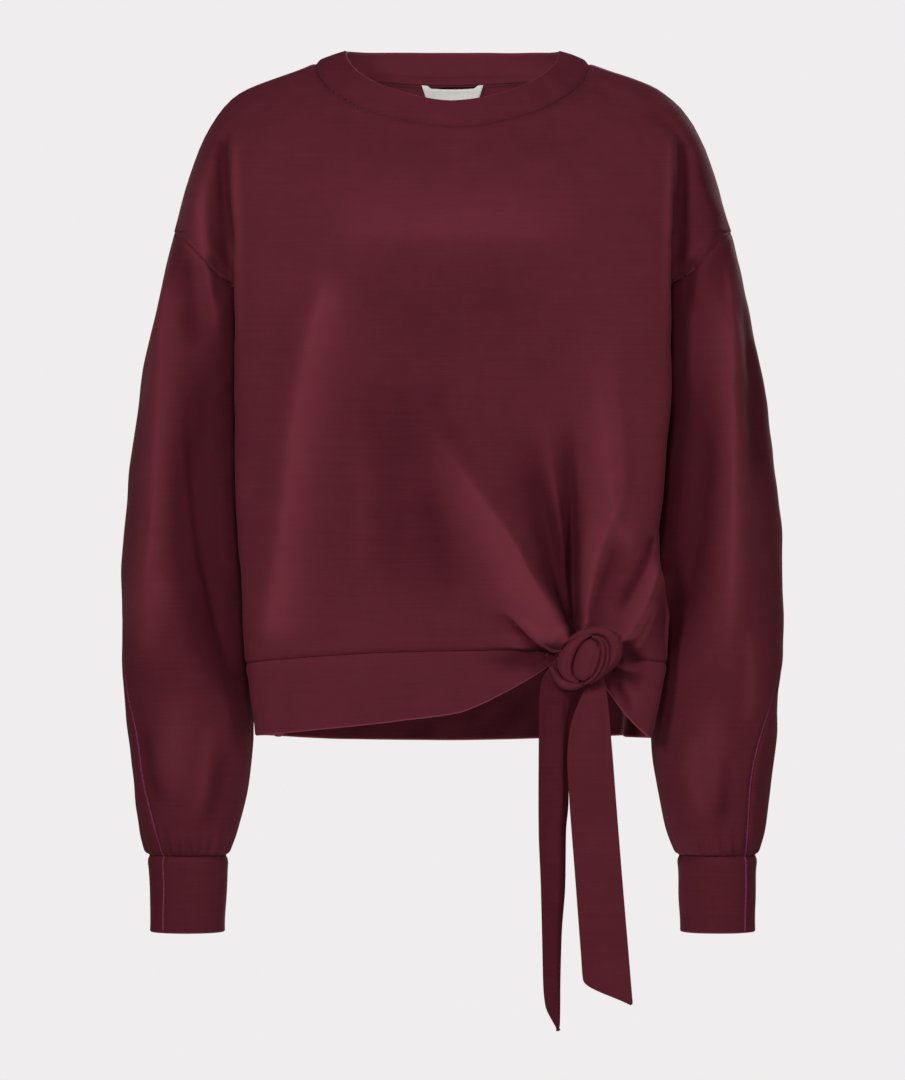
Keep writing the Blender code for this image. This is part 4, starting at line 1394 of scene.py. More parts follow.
@dataclass
class Collar:
    """The crew collar, folded double at its free edge."""

    line: NeckLine = NeckLine(86.0, -69.0, -35.0, -3.0, 9.5, 47.0, 11.5)
    neck_half_width: float = 109.0
    crown: float = 0.7
    crown_rise: float = 0.6
    rows: int = 12

    def rings(self, seam: Array, front_count: int) -> Array:
        """The outer points from the free edge down to the neck seam.

        Args:
            seam: the neck seam's points.
            front_count: how many of them belong to the front.

        Returns:
            The rings.
        """
        degrees = np.degrees(np.arcsin(np.clip(seam[:, 0] / self.neck_half_width, -1, 1)))
        ahead, behind = self.line.points(degrees, Face.FRONT), self.line.points(degrees, Face.BACK)
        free = np.where((np.arange(len(seam)) < front_count)[:, None], ahead, behind)
        down = fine_places((0, 1, self.rows), near_ends=(0.03,))[:, None, None]
        away = unit(seam * (1, 1, 0)) + (0, 0, self.crown_rise)
        return free + (seam - free) * down + away * self.crown * np.sin(np.pi * down)


@dataclass(frozen=True)
class HemPoint:
    """The hem's height at one place across."""

    x: float
    z: float


@dataclass
class HemBand:
    """The band round the hem, folded double at its lower edge; its front ends go into the knot.

    Its wall and how proud it stands of the cloth are those of all doubled cloth.
    """

    knot_from: float = 98.0
    knot_to: float = 112.0
    inset: float = 0.967
    drawn_in: float = 7.0
    left_share: float = 0.25  # of how far the right side is drawn in
    drawn_right_from: float = 118.0
    drawn_left_from: float = 120.0
    drawn_reach: float = 34.0
    front_from: float = 6.0
    front_reach: float = 44.0
    seam_foot: float = -535.2
    seam_reach: float = 30.0
    wall: float = 2.8
    proud: float = 0.4
    rows: int = 14
    front: tuple[HemPoint, ...] = rows_of(
        HemPoint,
        (-170, -535), (-153, -533.5), (-114, -529.5), (-80, -526), (-43, -521.6), (4, -515.3),
        (20, -509.5), (35, -502.3), (53, -493), (69, -483.4), (80, -477), (88, -474.5), (98, -476),
        (113, -487), (121, -497), (137, -518), (150, -531), (157, -536), (170, -538),
    )
    back: tuple[HemPoint, ...] = rows_of(
        HemPoint,
        (-170, -537), (-86, -542), (0, -543), (86, -541), (170, -537),
    )

    @staticmethod
    def turned_in(across: Array) -> Array:
        """Places across, with the cloth that turns in behind a side fold kept at the fold.

        Args:
            across: places across, along the band.

        Returns:
            Places that never turn back.
        """
        order = 1 if across[0] < across[-1] else -1
        across = across[::order]
        right = np.maximum.accumulate(np.maximum(across, 0))
        left = np.minimum.accumulate(np.minimum(across, 0)[::-1])[::-1]
        return (right + left)[::order]

    def grid(self, seam: Array, hem: Sequence[HemPoint]) -> Array:
        """The outer points of a stretch of band under its seam.

        Args:
            seam: the points of the seam above it.
            hem: the heights of its lower edge.

        Returns:
            Rows by columns of points.
        """
        foot = seam * (self.inset, self.inset, 1)
        if seam[0, 0] < seam[-1, 0]:
            ahead = self.drawn_in * smooth_step((-foot[:, 1] - self.front_from) / self.front_reach)
            foot[:, 0] -= ahead * smooth_step((foot[:, 0] - self.drawn_right_from) / self.drawn_reach)
            left = smooth_step((-foot[:, 0] - self.drawn_left_from) / self.drawn_reach)
            foot[:, 0] += ahead * self.left_share * left
        heights = table(hem, "x", "z")
        at = self.turned_in(foot[:, 0])
        foot[:, 2] = smooth_through(heights[:, 0], heights[:, 1], at)
        beside = smooth_step(1 - np.abs(foot[:, 1]) / self.seam_reach)
        beside = np.where(np.abs(foot[:, 0]) > self.knot_to, beside, 0.0)
        foot[:, 2] += (self.seam_foot - foot[:, 2]) * beside
        down = fine_places((0, 1, self.rows), near_ends=(0.02,))[:, None, None]
        return seam + (foot - seam) * down


# ---------------------------------------------------------------- knot, ties, label


@dataclass(frozen=True)
class LoopPoint:
    """A point of a rolled pass of the knot."""

    x: float
    y: float
    z: float
    across: float
    through: float


@dataclass
class Knot:
    """The knot: a pad of cloth drawn tight, with the tie's passes round it."""

    pad_at: tuple[float, float, float] = (105.9, -115.6, -474.6)
    pad_radii: tuple[float, float, float] = (10.4, 9.8, 17.0)
    pad_tilt: float = 20.0  # degrees, its top towards the right arm
    pad_powers: tuple[float, float] = (0.85, 0.8)  # below 1 for fuller corners, round it and along it
    # where each crease of the pad runs, how it slants, how deep and how wide it is, in radii
    pad_creases: tuple[tuple[float, float, float, float], ...] = (
        (0.42, 0.1, 0.10, 0.10),
        (-0.5, 0.0, 0.05, 0.10),
    )
    # each groove of a pass: its weight, its angle, its drift at each point and its width
    grooves: tuple[tuple[float, float, float, float], ...] = (
        (1.0, 1.1, 0.175, 0.16),
        (0.7, 2.3, -0.14, 0.12),
    )
    ring_points: int = 36
    steps_per_point: int = 9
    outer_pass: tuple[LoopPoint, ...] = rows_of(
        LoopPoint,
        (90.3, -108.0, -460.4, 2.1, 4.0), (96.9, -110.0, -456.7, 2.9, 5.5),
        (104.9, -111.5, -453.3, 3.8, 6.8), (113.2, -112.2, -452.1, 4.2, 7.6),
        (121.5, -112.6, -455.0, 5.0, 8.2), (126.3, -112.6, -462.1, 6.0, 8.6),
        (126.5, -112.4, -469.6, 6.0, 8.4), (123.6, -112.0, -476.3, 5.2, 7.8),
        (119.0, -111.2, -481.7, 4.0, 6.6), (114.9, -110.0, -486.3, 2.5, 5.0),
    )
    left_pass: tuple[LoopPoint, ...] = rows_of(
        LoopPoint,
        (107.8, -112.5, -455.0, 2.1, 6.0), (99.9, -113.2, -459.2, 3.8, 7.4),
        (93.2, -113.4, -465.6, 5.2, 8.2), (89.4, -113.2, -473.8, 6.3, 8.4),
        (88.6, -112.8, -481.3, 5.8, 7.8), (91.7, -112.0, -487.5, 4.4, 6.6),
        (97.8, -111.0, -491.3, 2.7, 5.0),
    )
    lower_lobe: tuple[LoopPoint, ...] = rows_of(
        LoopPoint,
        (77.4, -106.5, -480.9, 1.9, 3.6), (80.1, -108.5, -485.4, 2.9, 4.8),
        (83.8, -109.6, -490.9, 3.5, 5.8), (89.2, -110.0, -494.4, 3.8, 6.2),
        (95.9, -110.0, -494.6, 3.3, 6.0), (102.4, -109.5, -492.5, 2.5, 5.2),
        (107.4, -108.5, -489.6, 1.7, 4.0),
    )
    first_strip: tuple[LoopPoint, ...] = rows_of(
        LoopPoint,
        (109.9, -116.0, -456.7, 1.3, 5.5), (114.9, -117.0, -459.2, 2.1, 6.8),
        (117.2, -117.0, -465.4, 2.5, 7.4), (117.0, -117.0, -472.9, 2.5, 7.4),
        (114.5, -116.6, -481.7, 2.3, 7.0), (109.9, -116.0, -488.4, 1.9, 6.2),
        (103.6, -114.5, -492.9, 1.3, 4.6),
    )
    second_strip: tuple[LoopPoint, ...] = rows_of(
        LoopPoint,
        (112.4, -114.2, -456.3, 1.3, 5.5), (117.8, -115.0, -459.6, 2.1, 6.6),
        (120.7, -115.0, -465.4, 2.5, 7.2), (120.7, -115.0, -473.3, 2.5, 7.2),
        (118.0, -114.6, -481.7, 2.3, 6.8), (113.4, -114.0, -488.1, 1.9, 6.0),
        (107.4, -112.5, -492.5, 1.3, 4.6),
    )

    def pad(self, finish: bpy.types.Material) -> bpy.types.Object:
        """The pad in the middle, creased along its length.

        Args:
            finish: its material.

        Returns:
            The pad.
        """
        turns, rings, tip = 56, 40, 0.02
        upward = np.linspace(tip, np.pi - tip, rings)[:, None]
        angle = np.arange(turns) * 2 * np.pi / turns
        ring = np.stack([np.cos(angle), -np.sin(angle)])
        x, y = np.sign(ring) * np.abs(ring) ** self.pad_powers[0]
        width = np.sin(upward) ** self.pad_powers[1]
        x, y, z = x * width, y * width, np.cos(upward) + 0 * angle
        sunk = sum(
            depth * np.exp(-(((x - place + slant * z) / half) ** 2))
            for place, slant, depth, half in self.pad_creases
        )
        y = y + np.where(y < 0, sunk, 0.0)
        x, y, z = (value * radius for value, radius in zip((x, y, z), self.pad_radii))
        cosine, sine = math.cos(math.radians(self.pad_tilt)), math.sin(math.radians(self.pad_tilt))
        points = np.stack([x * cosine + z * sine, y, z * cosine - x * sine], axis=-1)
        return tube_object("knot_pad", points + self.pad_at, finish)

    @staticmethod
    def rounded_end(ring: Array, middle: Array, outward: Array, reach: float) -> Array:
        """Four ever smaller rings that round off the end of a rolled pass.

        Args:
            ring: the pass's last ring.
            middle: its middle.
            outward: the direction that the pass ends in.
            reach: how far the end stands out.

        Returns:
            The rings, the smallest one last.
        """
        count, least = 4, 0.02
        away = np.linspace(0.1, 0.9, count)[:, None, None]
        close = np.sqrt(np.clip(1 - np.linspace(0.2, 1, count) ** 2, least, 1))[:, None, None]
        return middle + (ring - middle) * close + outward * reach * away

    def rolled(
        self, name: str, points: Sequence[LoopPoint], finish: bpy.types.Material, creases: float
    ) -> bpy.types.Object:
        """One pass of cloth, rolled so that it shows lengthwise creases.

        Args:
            name: the object's name.
            points: its middle line and half sizes.
            finish: its material.
            creases: how deep the creases are, as a share of its half size.

        Returns:
            The object.
        """
        at = np.arange(len(points))
        steps = np.linspace(0, at[-1], self.steps_per_point * at[-1] + 1)
        line = smooth_through(at, table(points, "x", "y", "z"), steps, True)
        sizes = smooth_through(at, table(points, "across", "through"), steps)
        facing = np.broadcast_to(np.array([0.0, -1.0, 0.0]), line.shape)
        rings = ClothMesh.tube(line, sizes[:, 0], sizes[:, 1], facing, self.ring_points)
        middle = rings.mean(1, keepdims=True)
        angle = np.arange(self.ring_points) * 2 * np.pi / self.ring_points
        groove = sum(
            weight * np.exp(-((np.sin((angle - start - drift * steps[:, None]) / 2) / width) ** 2))
            for weight, start, drift, width in self.grooves
        )
        rings = middle + (rings - middle) * (1 - creases * groove)[..., None]
        before, beyond = unit(line[0] - line[1]), unit(line[-1] - line[-2])
        start = self.rounded_end(rings[0], line[0], before, sizes[0, 0])[::-1]
        end = self.rounded_end(rings[-1], line[-1], beyond, sizes[-1, 0])
        return tube_object(name, np.concatenate([start, rings, end]), finish, flip=True)

    def build(self, finish: bpy.types.Material) -> dict[str, bpy.types.Object]:
        """All passes of the knot, by name.

        Args:
            finish: their material.

        Returns:
            The objects by name.
        """
        made = {"knot_pad": self.pad(finish)}
        passes = (
            ("knot_outer_pass", self.outer_pass, 0.10),
            ("knot_left_pass", self.left_pass, 0.10),
            ("knot_lower_lobe", self.lower_lobe, 0.10),
            ("knot_first_strip", self.first_strip, 0.0),
            ("knot_second_strip", self.second_strip, 0.0),
        )
        for name, points, creases in passes:
            made[name] = self.rolled(name, points, finish, creases)
        return made


@dataclass(frozen=True)
class TieRow:
    """One level of a hanging tie: its two sides, its depth in front and how far each side turns back."""

    z: float
    left: float
    right: float
    y: float
    turn_left: float = 0.0
    turn_right: float = 0.0


@dataclass
class Tie:
    """A hanging tie end, folded double lengthwise."""

    name: str
    rows: tuple[TieRow, ...]
    wall: float = 2.6
    columns: int = 18
    per_row: int = 12
    crown: float = 1.3
    crown_power: float = 0.7
    # each wave of its surface: height, length along it divided by 2 pi, and its slant across
    waves: tuple[tuple[float, float, float], ...] = ((1.0, 46.0, 2.2), (0.4, 19.0, -3.0))
    turn_shares: tuple[float, float] = (0.25, 0.28)  # of the width, that turn back on each side
    seam_in: float = 2.8
    seam_depth: float = 0.55
    seam_width: float = 0.8
    edge_wall: float = 0.45  # the share of the wall that is left at the sides
    edge_rate: float = 3.5  # how fast it reaches its full thickness from there
    shade: float = -0.1  # painted shade over the whole tie, below 0 for deeper
    facet: float = 0.0  # painted shade where the right side turns back, below 0 for a painted highlight there
    facet_from: float = 0.76
    facet_width: float = 0.16

    def build(self, finish: bpy.types.Material) -> bpy.types.Object:
        """The tie as one body.

        Args:
            finish: its material.

        Returns:
            The tie.
        """
        at = np.arange(len(self.rows))
        steps = np.linspace(0, at[-1], self.per_row * at[-1] + 1)
        level = smooth_through(at, table(self.rows, "z", "left", "right", "y"), steps)
        turn = smooth_through(at, table(self.rows, "turn_left", "turn_right"), steps)
        z, left, right, y = (level[:, k : k + 1] for k in range(4))
        share = (1 - np.cos(np.linspace(0, np.pi, self.columns + 1))) / 2
        width = right - left
        bow = np.sin(np.pi * share) ** self.crown_power * self.crown
        ripple = sum(height * np.sin(z / length + slant * share) for height, length, slant in self.waves)
        back = turn[:, :1] * smooth_step(1 - share / self.turn_shares[0])
        back = back + turn[:, 1:] * smooth_step(1 - (1 - share) / self.turn_shares[1])
        grid = np.stack([left + width * share, y - bow - ripple + back, z + 0 * share], axis=-1)
        normals = grid_normals(grid, False)
        seam = np.exp(-(((share * width - self.seam_in) / self.seam_width) ** 2))
        grid = grid - normals * self.seam_depth * seam[..., None]
        full = np.clip(self.edge_rate * np.sin(np.pi * share), 0, 1)
        thick = self.wall * (self.edge_wall + (1 - self.edge_wall) * full)
        inner = grid - normals * thick[:, None]
        # painted shading: the tie's painted shade, and deeper or paler where its right side turns back
        facet = smooth_step((share - self.facet_from) / self.facet_width) * turn[:, 1:]
        nap = self.shade - self.facet * facet / turn[:, 1].max()
        stack = np.concatenate([grid, inner[::-1]])
        return ClothMesh.make(self.name, stack, False, finish, np.concatenate([nap, nap[::-1]]))


TIE_LEFT = Tie(
    "tie_left",
    rows_of(
        TieRow,
        (-476, 80, 99, -105.0), (-489, 70.5, 94, -105.2, 0.5, 1.0), (-501, 68.2, 92, -105.6, 0.5, 2.5),
        (-520, 67.6, 91.2, -105.9, 0.5, 4.0), (-583, 67.2, 91.0, -105.8, 0.5, 5.0),
        (-610, 67.4, 89.0, -105.6, 0.5, 5.5), (-650, 69.0, 88.4, -105.6, 0.5, 5.0),
        (-690, 70.0, 85.6, -105.8, 0.5, 4.0), (-731, 71, 84.5, -106.0, 0.5, 2.0),
        (-745, 72.5, 84.4, -106.2, 0.5, 1.0), (-765, 82.2, 84.0, -106.4),
    ),
    shade=-0.6,
    facet=0.7,
)
TIE_RIGHT = Tie(
    "tie_right",
    rows_of(
        TieRow,
        (-478, 108, 117, -105.4, 0.5, 0.5), (-487, 107, 118.5, -105.8, 0.5, 0.5),
        (-496, 104.0, 120.0, -106.4, 0.5, 1.0), (-506, 99.6, 121.4, -107.0, 0.8, 1.5),
        (-520, 94.0, 122.8, -107.8, 1.2, 2.0), (-534, 91.0, 124.0, -108.4, 1.2, 2.5),
        (-552, 89.7, 125.5, -108.9, 1.0, 2.0), (-583, 91.2, 127.8, -109.3, 0.5, 1.0),
        (-644, 95.8, 132.6, -110.0), (-703, 100.2, 137.6, -110.8), (-725, 102.0, 139.4, -111.0),
        (-744, 137.6, 141.0, -111.0),
    ),
    shade=-0.16,
    facet=-0.25,
)


@dataclass
class NeckLabel:
    """A bare woven label inside the back neck, held at its top corners so that its middle sags."""

    half_width: float = 25.0
    foot_half_width: float = 15.0
    top: float = -13.2
    sag: float = 1.2
    notch: float = 2.2
    notch_width: float = 0.16  # a share of half the width
    drop: float = 30.0
    wall: float = 0.6
    clearance: float = 1.4
    margin: float = 12.0
    neighbours: int = 6
    softening: float = 0.5
    columns: int = 30
    rows: int = 16

    def build(self, back: Patch, wall: float, finish: bpy.types.Material) -> bpy.types.Object:
        """The label, just inside the back.

        Args:
            back: the back panel.
            wall: the thickness of its cloth.
            finish: the label's material.

        Returns:
            The label.
        """
        inside = (back.grid - back.normals * (wall + self.clearance)).reshape(-1, 3)
        inside = inside[np.abs(inside[:, 0]) < self.half_width + self.margin]
        across = np.linspace(1, -1, self.columns + 1)
        down = np.linspace(0, 1, self.rows + 1)[:, None]
        x = across * (self.half_width + (self.foot_half_width - self.half_width) * down)
        corner = smooth_step((1 - self.notch_width - np.abs(across)) / self.notch_width)
        sag = self.sag * (1 - across**2) + self.notch * corner
        z = self.top - sag * (1 - down) - self.drop * down
        apart = np.hypot(inside[:, 0] - x[..., None], inside[:, 2] - z[..., None])
        near = np.argpartition(apart, self.neighbours)[..., : self.neighbours]
        weight = 1 / (np.take_along_axis(apart, near, -1) + self.softening)
        y = (inside[near, 1] * weight).sum(-1) / weight.sum(-1)
        grid = np.stack([x, y, z], axis=-1)
        facing = np.broadcast_to(np.array([0.0, 1.0, 0.0]), grid.shape)
        return ClothMesh.make("neck_label", ClothMesh.shell(grid, facing, self.wall), False, finish)


# ---------------------------------------------------------------- seams that show


@dataclass
class ContrastSeam:
    """A raised seam in a brighter thread, over each shoulder, down the sleeve and across the cuff."""

    half_width: float = 0.85
    height: float = 0.8
    sunk: float = 0.25
    end_size: float = 0.6
    around: int = 8

    def build(
        self, name: str, line: Array, facing: Array, finish: bpy.types.Material
    ) -> bpy.types.Object:
        """The seam along a line on the cloth.

        Args:
            name: the object's name.
            line: points on the cloth.
            facing: the cloth's normals there.
            finish: its material.

        Returns:
            The seam.
        """
        line = line + facing * (self.height - self.sunk) * 0.5
        size = np.ones(len(line))
        size[[0, -1]] = self.end_size
        across, through = self.half_width * size, self.height * size
        rings = ClothMesh.tube(line, across, through, facing, self.around)
        return tube_object(name, rings, finish, flip=True)


@dataclass
class TwinNeedle:
    """Two rows of short stitches under the collar's seam."""

    offsets: tuple[float, float] = (2.6, 6.0)
    pitch: float = 3.1
    length: float = 2.3
    half_width: float = 0.28
    taper: tuple[float, ...] = (0.35, 1.0, 1.0, 0.35)
    lift: tuple[float, ...] = (-0.1, 0.12, 0.12, -0.1)
    around: int = 6

    def build(self, patches: Sequence[Patch], finish: bpy.types.Material) -> bpy.types.Object:
        """The stitches as one object.

        Args:
            patches: the panels whose first row is the neck seam.
            finish: the thread.

        Returns:
            The stitches.
        """
        points: list[Array] = []
        faces: list[list[int]] = []
        for patch in patches:
            far = edge_distance(patch.grid, "top")
            for offset in self.offsets:
                row = np.abs(far - offset).argmin(0)
                columns = np.arange(patch.grid.shape[1])
                before = np.maximum(row - 1, 0)
                after = np.minimum(row + 1, far.shape[0] - 1)
                step = far[after, columns] - far[before, columns]
                share = ((offset - far[before, columns]) / np.maximum(step, 1e-6))[:, None]
                low, high = patch.grid[before, columns], patch.grid[after, columns]
                line = low + (high - low) * np.clip(share, 0, 1)
                self._dashes(line, patch.normals[row, columns], points, faces)
        return smooth_object("collar_stitches", np.concatenate(points), faces, finish)

    def _dashes(self, line: Array, facing: Array, points: list[Array], faces: list[list[int]]) -> None:
        """Adds one stitch for each pitch along a line.

        Args:
            line: points on the cloth.
            facing: the cloth's normals there.
            points: the points so far, to which it adds.
            faces: the faces so far, to which it adds.
        """
        far = np.concatenate([[0], np.cumsum(np.linalg.norm(np.diff(line, axis=0), axis=1))])
        for start in np.arange(self.pitch / 2, far[-1] - self.length, self.pitch):
            at = np.linspace(start, start + self.length, len(self.taper))
            middle, normal = (
                np.stack([np.interp(at, far, values[:, k]) for k in range(3)], axis=-1)
                for values in (line, facing)
            )
            normal = unit(normal)
            size = self.half_width * np.array(self.taper)
            middle = middle + normal * np.array(self.lift)[:, None]
            rings = ClothMesh.tube(middle, size, size, normal, self.around)
            index = np.arange(size.size * self.around).reshape(size.size, self.around)
            index = index + sum(len(block) for block in points)
            after = np.roll(index, -1, axis=1)
            quads = np.stack([index[:-1], after[:-1], after[1:], index[1:]], axis=-1)
            points.append(rings.reshape(-1, 3))
            faces += quads.reshape(-1, 4).tolist() + [index[0, ::-1].tolist(), index[-1].tolist()]


# ---------------------------------------------------------------- the garment


@dataclass
class Garment:
    """The sweater's cloth: its patterns laid out, folded and sewn."""

    bodice: Bodice = field(default_factory=Bodice)
    collar: Collar = field(default_factory=Collar)
    band: HemBand = field(default_factory=HemBand)
    plans: tuple[FoldPlan, ...] = (
        FoldPlan(LARGE_FRONT_FOLDS, LARGE_BACK_FOLDS, depth=1.35),
        FoldPlan(FINE_FRONT_FOLDS, FINE_BACK_FOLDS, pinch=0.0),
    )
    ripple: Ripple = field(default_factory=Ripple)
    groove: SeamGroove = field(default_factory=SeamGroove)
    # the painted shading of the cloth
    rub: NapRub = field(default_factory=NapRub)
    sleeves: dict[Side, Sleeve] = field(default_factory=lambda: {side: Sleeve(side) for side in Side})
    cuffs: dict[Side, Cuff] = field(default_factory=lambda: {side: Cuff(side) for side in Side})
    patches: dict[str, Patch] = field(default_factory=dict)

    def lay_out(self) -> None:
        """Lays out every pattern piece without its folds."""
        front, back = self.bodice.panel(Face.FRONT), self.bodice.panel(Face.BACK)
        self.patches["front_body"] = Patch(front, False, EVERY_SIDE)
        self.patches["back_body"] = Patch(back, False, EVERY_SIDE)
        for side, front_edge, back_edge in ((Side.RIGHT, -1, 0), (Side.LEFT, 0, -1)):
            self._lay_out_arm(side, front[:, front_edge], back[:, back_edge])
        neck = np.concatenate([front[0], back[0, 1:-1]])
        self.patches["collar"] = Patch(self.collar.rings(neck, front.shape[1]), True, ("bottom",))
        seam = front[-1]
        left_count = int((seam[:, 0] <= self.band.knot_from).sum())
        right_start = int((seam[:, 0] < self.band.knot_to).sum())
        parts = (
            ("band_front_left", seam[:left_count], self.band.front, ("top", "left")),
            ("band_front_right", seam[right_start:], self.band.front, ("top", "right")),
            ("band_back", back[-1], self.band.back, ("top", "left", "right")),
        )
        for name, line, hem, seams in parts:
            self.patches[name] = Patch(self.band.grid(line, hem), False, seams)

    def _lay_out_arm(self, side: Side, ahead: Array, behind: Array) -> None:
        """Lays out one sleeve and its cuff.

        Args:
            side: the arm.
            ahead: the front panel's last column on that side.
            behind: the back panel's last column on that side.
        """
        hole = self.bodice.hole()
        mirror = np.array((side.value, 1, 1))
        span = self.bodice.underarm_row - self.bodice.shoulder_row
        shares = (self.bodice.rows()[hole] - self.bodice.shoulder_row) / span
        armhole = np.concatenate([behind[hole], ahead[hole][-2::-1]]) * mirror
        rings = self.sleeves[side].rings(armhole, shares)
        cuff = self.cuffs[side].rings(rings[-1])
        order = (Face.BACK, Face.FRONT)
        if side is Side.LEFT:
            rings, cuff, order = rings[:, ::-1] * mirror, cuff[:, ::-1] * mirror, order[::-1]
        middle = len(shares) - 1
        for face, part in zip(order, (rings[:, : middle + 1], rings[:, middle:])):
            self.patches[f"sleeve_{side.word}_{face.value}"] = Patch(part, False, EVERY_SIDE)
        self.patches[f"cuff_{side.word}"] = Patch(cuff[:, :-1], True, ("top",))

    def fold(self) -> None:
        """Raises the folds, then sinks the seams and adds gathers and small unevenness."""
        share_normals(self.patches)
        for name, patch in self.patches.items():
            moves = [
                (plan.heights(patch.grid, patch.normals)[..., None], plan.direction)
                for plan in self.plans
            ]
            patch.grid = patch.grid + sum(patch.normals * way * height for height, way in moves)
            # painted shading from the fold heights: painted highlight on crests, painted shade in troughs
            patch.nap = self.rub.shades(name, *(height[..., 0] for height, _ in moves))
        share_normals(self.patches)
        for name, patch in self.patches.items():
            small = self.groove.heights(patch) + self.ripple.heights(patch.grid)
            if name.startswith("sleeve"):
                small = small + self._gathers(name, patch)
            patch.grid = patch.grid + patch.normals * small[..., None]
        share_normals(self.patches)

    def _gathers(self, name: str, patch: Patch) -> Array:
        """The gathers above a cuff, which run on from one half of the sleeve to the other.

        Args:
            name: the sleeve half's name.
            patch: its patch.

        Returns:
            One height for each point.
        """
        side = Side.RIGHT if "right" in name else Side.LEFT
        first = Face.BACK if side is Side.RIGHT else Face.FRONT
        return self.sleeves[side].pleating(patch, 0.0 if name.endswith(first.value) else 0.5)

    def sew(
        self, jersey: bpy.types.Material, banding: bpy.types.Material
    ) -> dict[str, bpy.types.Object]:
        """Makes the cloth pieces.

        Args:
            jersey: the finish of the body and the sleeves.
            banding: the finish of the collar, cuffs and hem band.

        Returns:
            The objects by the names of the nodes that they stand for.
        """
        made = {}
        for name, patch in self.patches.items():
            single = name.endswith("body") or name.startswith("sleeve")
            if single:
                stack = ClothMesh.shell(patch.grid, patch.normals, self.bodice.wall)
            else:
                raised, at_top = patch.grid + patch.normals * self.band.proud, name == "collar"
                stack = ClothMesh.doubled(raised, patch.normals, self.band.wall, at_top)
            finish = jersey if single else banding
            # painted shading: the piece's own outside, a painted highlight round folded edges, painted light
            # on the inside
            rows, cols = patch.nap.shape
            edge = np.full((len(stack) - 2 * rows, cols), self.rub.edge)
            inside = np.full((rows, cols), self.rub.reverse)
            outside = (edge, patch.nap) if name == "collar" else (patch.nap, edge)
            nap = np.concatenate([*outside, inside])
            made[name] = ClothMesh.make(name, stack, patch.closed, finish, nap)
        return made

    def over_arm(self, side: Side) -> tuple[Array, Array]:
        """The line that the contrast seam follows, from the neck to the end of the cuff.

        Args:
            side: the arm.

        Returns:
            Its points and the cloth's normals there.
        """
        front, cuff = self.patches["front_body"], self.patches[f"cuff_{side.word}"]
        first = Face.BACK if side is Side.RIGHT else Face.FRONT
        sleeve = self.patches[f"sleeve_{side.word}_{first.value}"]
        column = -1 if side is Side.RIGHT else 0
        last = self.bodice.hole().start
        parts = (
            (front.grid[1 : last + 1, column], front.normals[1 : last + 1, column]),
            (sleeve.grid[1:, 0], sleeve.normals[1:, 0]),
            (cuff.grid[1:, 0], cuff.normals[1:, 0]),
        )
        line, facing = (np.concatenate([part[k] for part in parts]) for k in (0, 1))
        return line, facing


# ---------------------------------------------------------------- how the cloth is cut


@dataclass(frozen=True)
class Cut:
    """The flat cut of the cloth that shows in one piece, in metres and square metres."""

    width: float
    length: float
    area: float
    hold: Hold = Hold.HUNG


# ---------------------------------------------------------------- studio


@dataclass(frozen=True)
class Lamp:
    """One soft area light."""

    name: str
    at: tuple[float, float, float]
    width: float
    height: float
    power: float
    aim: tuple[float, float, float] = (0.0, 0.0, -0.38)
    spread: float = 180.0  # degrees

    def build(self) -> bpy.types.Object:
        """The light, turned to what it lights.

        Returns:
            The light.
        """
        data = bpy.data.lights.new(self.name, "AREA")
        data.shape = "RECTANGLE"
        data.size, data.size_y, data.energy = self.width, self.height, self.power
        data.spread = math.radians(self.spread)
        made = placed(self.name, data)
        made.visible_camera = False
        made.location = self.at
        made.rotation_euler = (Vector(self.aim) - Vector(self.at)).to_track_quat("-Z", "Y").to_euler()
        return made


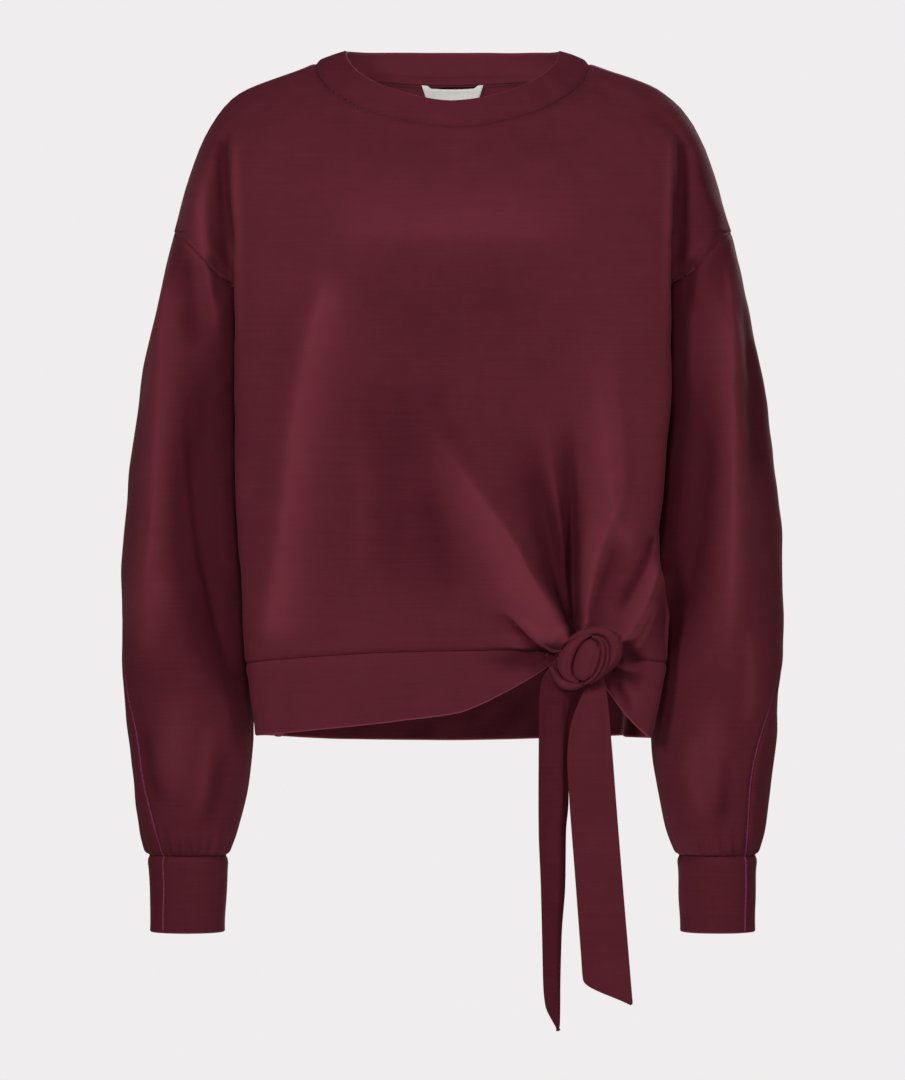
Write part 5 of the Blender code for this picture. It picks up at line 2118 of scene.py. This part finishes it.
@dataclass
class Studio:
    """Pale floor, soft light and a long lens in front of the garment."""

    backdrop: Colour = (0.871, 0.847, 0.855, 1.0)
    ambient: float = 0.13
    lens: float = 200.0
    sensor: float = 36.0
    farthest: float = 50.0
    distance: float = 4.8
    height: float = -0.381
    floor_height: float = -1.42
    floor_radius: float = 1.6
    floor_corners: int = 64
    lamps: tuple[Lamp, ...] = (
        Lamp("key", (-1.9, -3.1, 0.85), 0.8, 1.0, 55.0),
        Lamp("fill", (3.0, -2.0, 0.0), 0.8, 1.8, 27.0),
        Lamp("neck", (0.0, -1.9, 0.75), 0.25, 0.25, 13.0, (0.0, 0.05, -0.03)),
        Lamp("back", (0.9, 3.2, 1.3), 1.2, 1.0, 52.0),
        Lamp("hem", (0.02, -0.05, -1.3), 0.12, 0.06, 0.29, (0.02, 0.0, -0.5), 40.0),
    )

    def build(self) -> list[bpy.types.Object]:
        """Builds the studio.

        Returns:
            The objects that only dress the stage.
        """
        for lamp in self.lamps:
            lamp.build()
        self._world()
        self._camera()
        return [self._floor()]

    def _world(self) -> None:
        """A pale backdrop that lights the cloth less than it shows."""
        world = bpy.data.worlds.new("studio")
        bpy.context.scene.world = world
        world.use_nodes = True
        tree = world.node_tree
        tree.nodes.clear()
        seen, light = (tree.nodes.new("ShaderNodeBackground") for _ in range(2))
        seen.inputs["Color"].default_value = self.backdrop
        light.inputs["Color"].default_value = self.backdrop
        light.inputs["Strength"].default_value = self.ambient
        path, mix = tree.nodes.new("ShaderNodeLightPath"), tree.nodes.new("ShaderNodeMixShader")
        output = tree.nodes.new("ShaderNodeOutputWorld")
        tree.links.new(path.outputs["Is Camera Ray"], mix.inputs[0])
        tree.links.new(light.outputs[0], mix.inputs[1])
        tree.links.new(seen.outputs[0], mix.inputs[2])
        tree.links.new(mix.outputs[0], output.inputs[0])
        bpy.context.scene.view_settings.view_transform = "Standard"

    def _camera(self) -> None:
        """The photo's camera: level, far off and straight in front."""
        data = bpy.data.cameras.new("camera")
        data.lens, data.sensor_width, data.clip_end = self.lens, self.sensor, self.farthest
        data.dof.use_dof = False
        camera = placed("camera", data)
        camera.location = (0.0, -self.distance, self.height)
        camera.rotation_euler = (math.pi / 2, 0.0, 0.0)
        bpy.context.scene.camera = camera

    def _floor(self) -> bpy.types.Object:
        """A round pale floor under the garment.

        Returns:
            The floor.
        """
        turn = np.linspace(0, 2 * np.pi, self.floor_corners, endpoint=False)
        across, along = self.floor_radius * np.cos(turn), self.floor_radius * np.sin(turn)
        points = np.stack([across, along, np.full(turn.shape, self.floor_height)], axis=-1) / MM
        return smooth_object("studio_floor", points, [list(range(len(turn)))], FLOOR_PAINT.make())


# ---------------------------------------------------------------- in order


# the visible passes of the knot, and the nodes that they stand for
KNOT_NODES = {"knot_pad": "knot_core", "knot_outer_pass": "knot_wrap", "knot_left_pass": "knot_tail"}


def half_surface(piece: bpy.types.Object) -> float:
    """Half of a piece's surface in square metres, which for a thin shell is one of its sides."""
    return sum(face.area for face in piece.data.polygons) / 2


def main() -> None:
    """Builds the sweater's pieces in order and reports each."""
    logging.basicConfig(level=logging.INFO, format="%(message)s")
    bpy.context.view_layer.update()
    jersey, banding = JERSEY.make(), BANDING.make()
    garment = Garment()
    garment.lay_out()
    garment.fold()
    cloth = garment.sew(jersey, banding)
    for tie in (TIE_LEFT, TIE_RIGHT):
        cloth[tie.name] = tie.build(banding)
    back = garment.patches["back_body"]
    cloth["neck_label"] = NeckLabel().build(back, garment.bodice.wall, LABEL_TAPE.make())
    for name, piece in cloth.items():
        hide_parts(name)
        slot = "burgundy_jersey" if piece.data.materials[0] is jersey else "burgundy_band"
        "label_cloth" if name == "neck_label" else slot

    knot = Knot().build(jersey)
    for name, node in KNOT_NODES.items():
        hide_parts(node)
    seams, plum = {}, PLUM_THREAD.make()
    for side in Side:
        name = f"contrast_seam_{side.word}"
        seams[name] = ContrastSeam().build(name, *garment.over_arm(side), plum)
    panels = [garment.patches["front_body"], back]
    seams["collar_stitches"] = TwinNeedle().build(panels, DARK_THREAD.make())

    for name, piece in {**cloth, **knot, **seams}.items():
        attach(piece, "root")
        count, area = len(piece.data.polygons), half_surface(piece)
        LOG.info("%s: %d faces, %.4f m2 on one side", name, count, area)
    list(Studio().build())


if __name__ == "__main__":
    main()
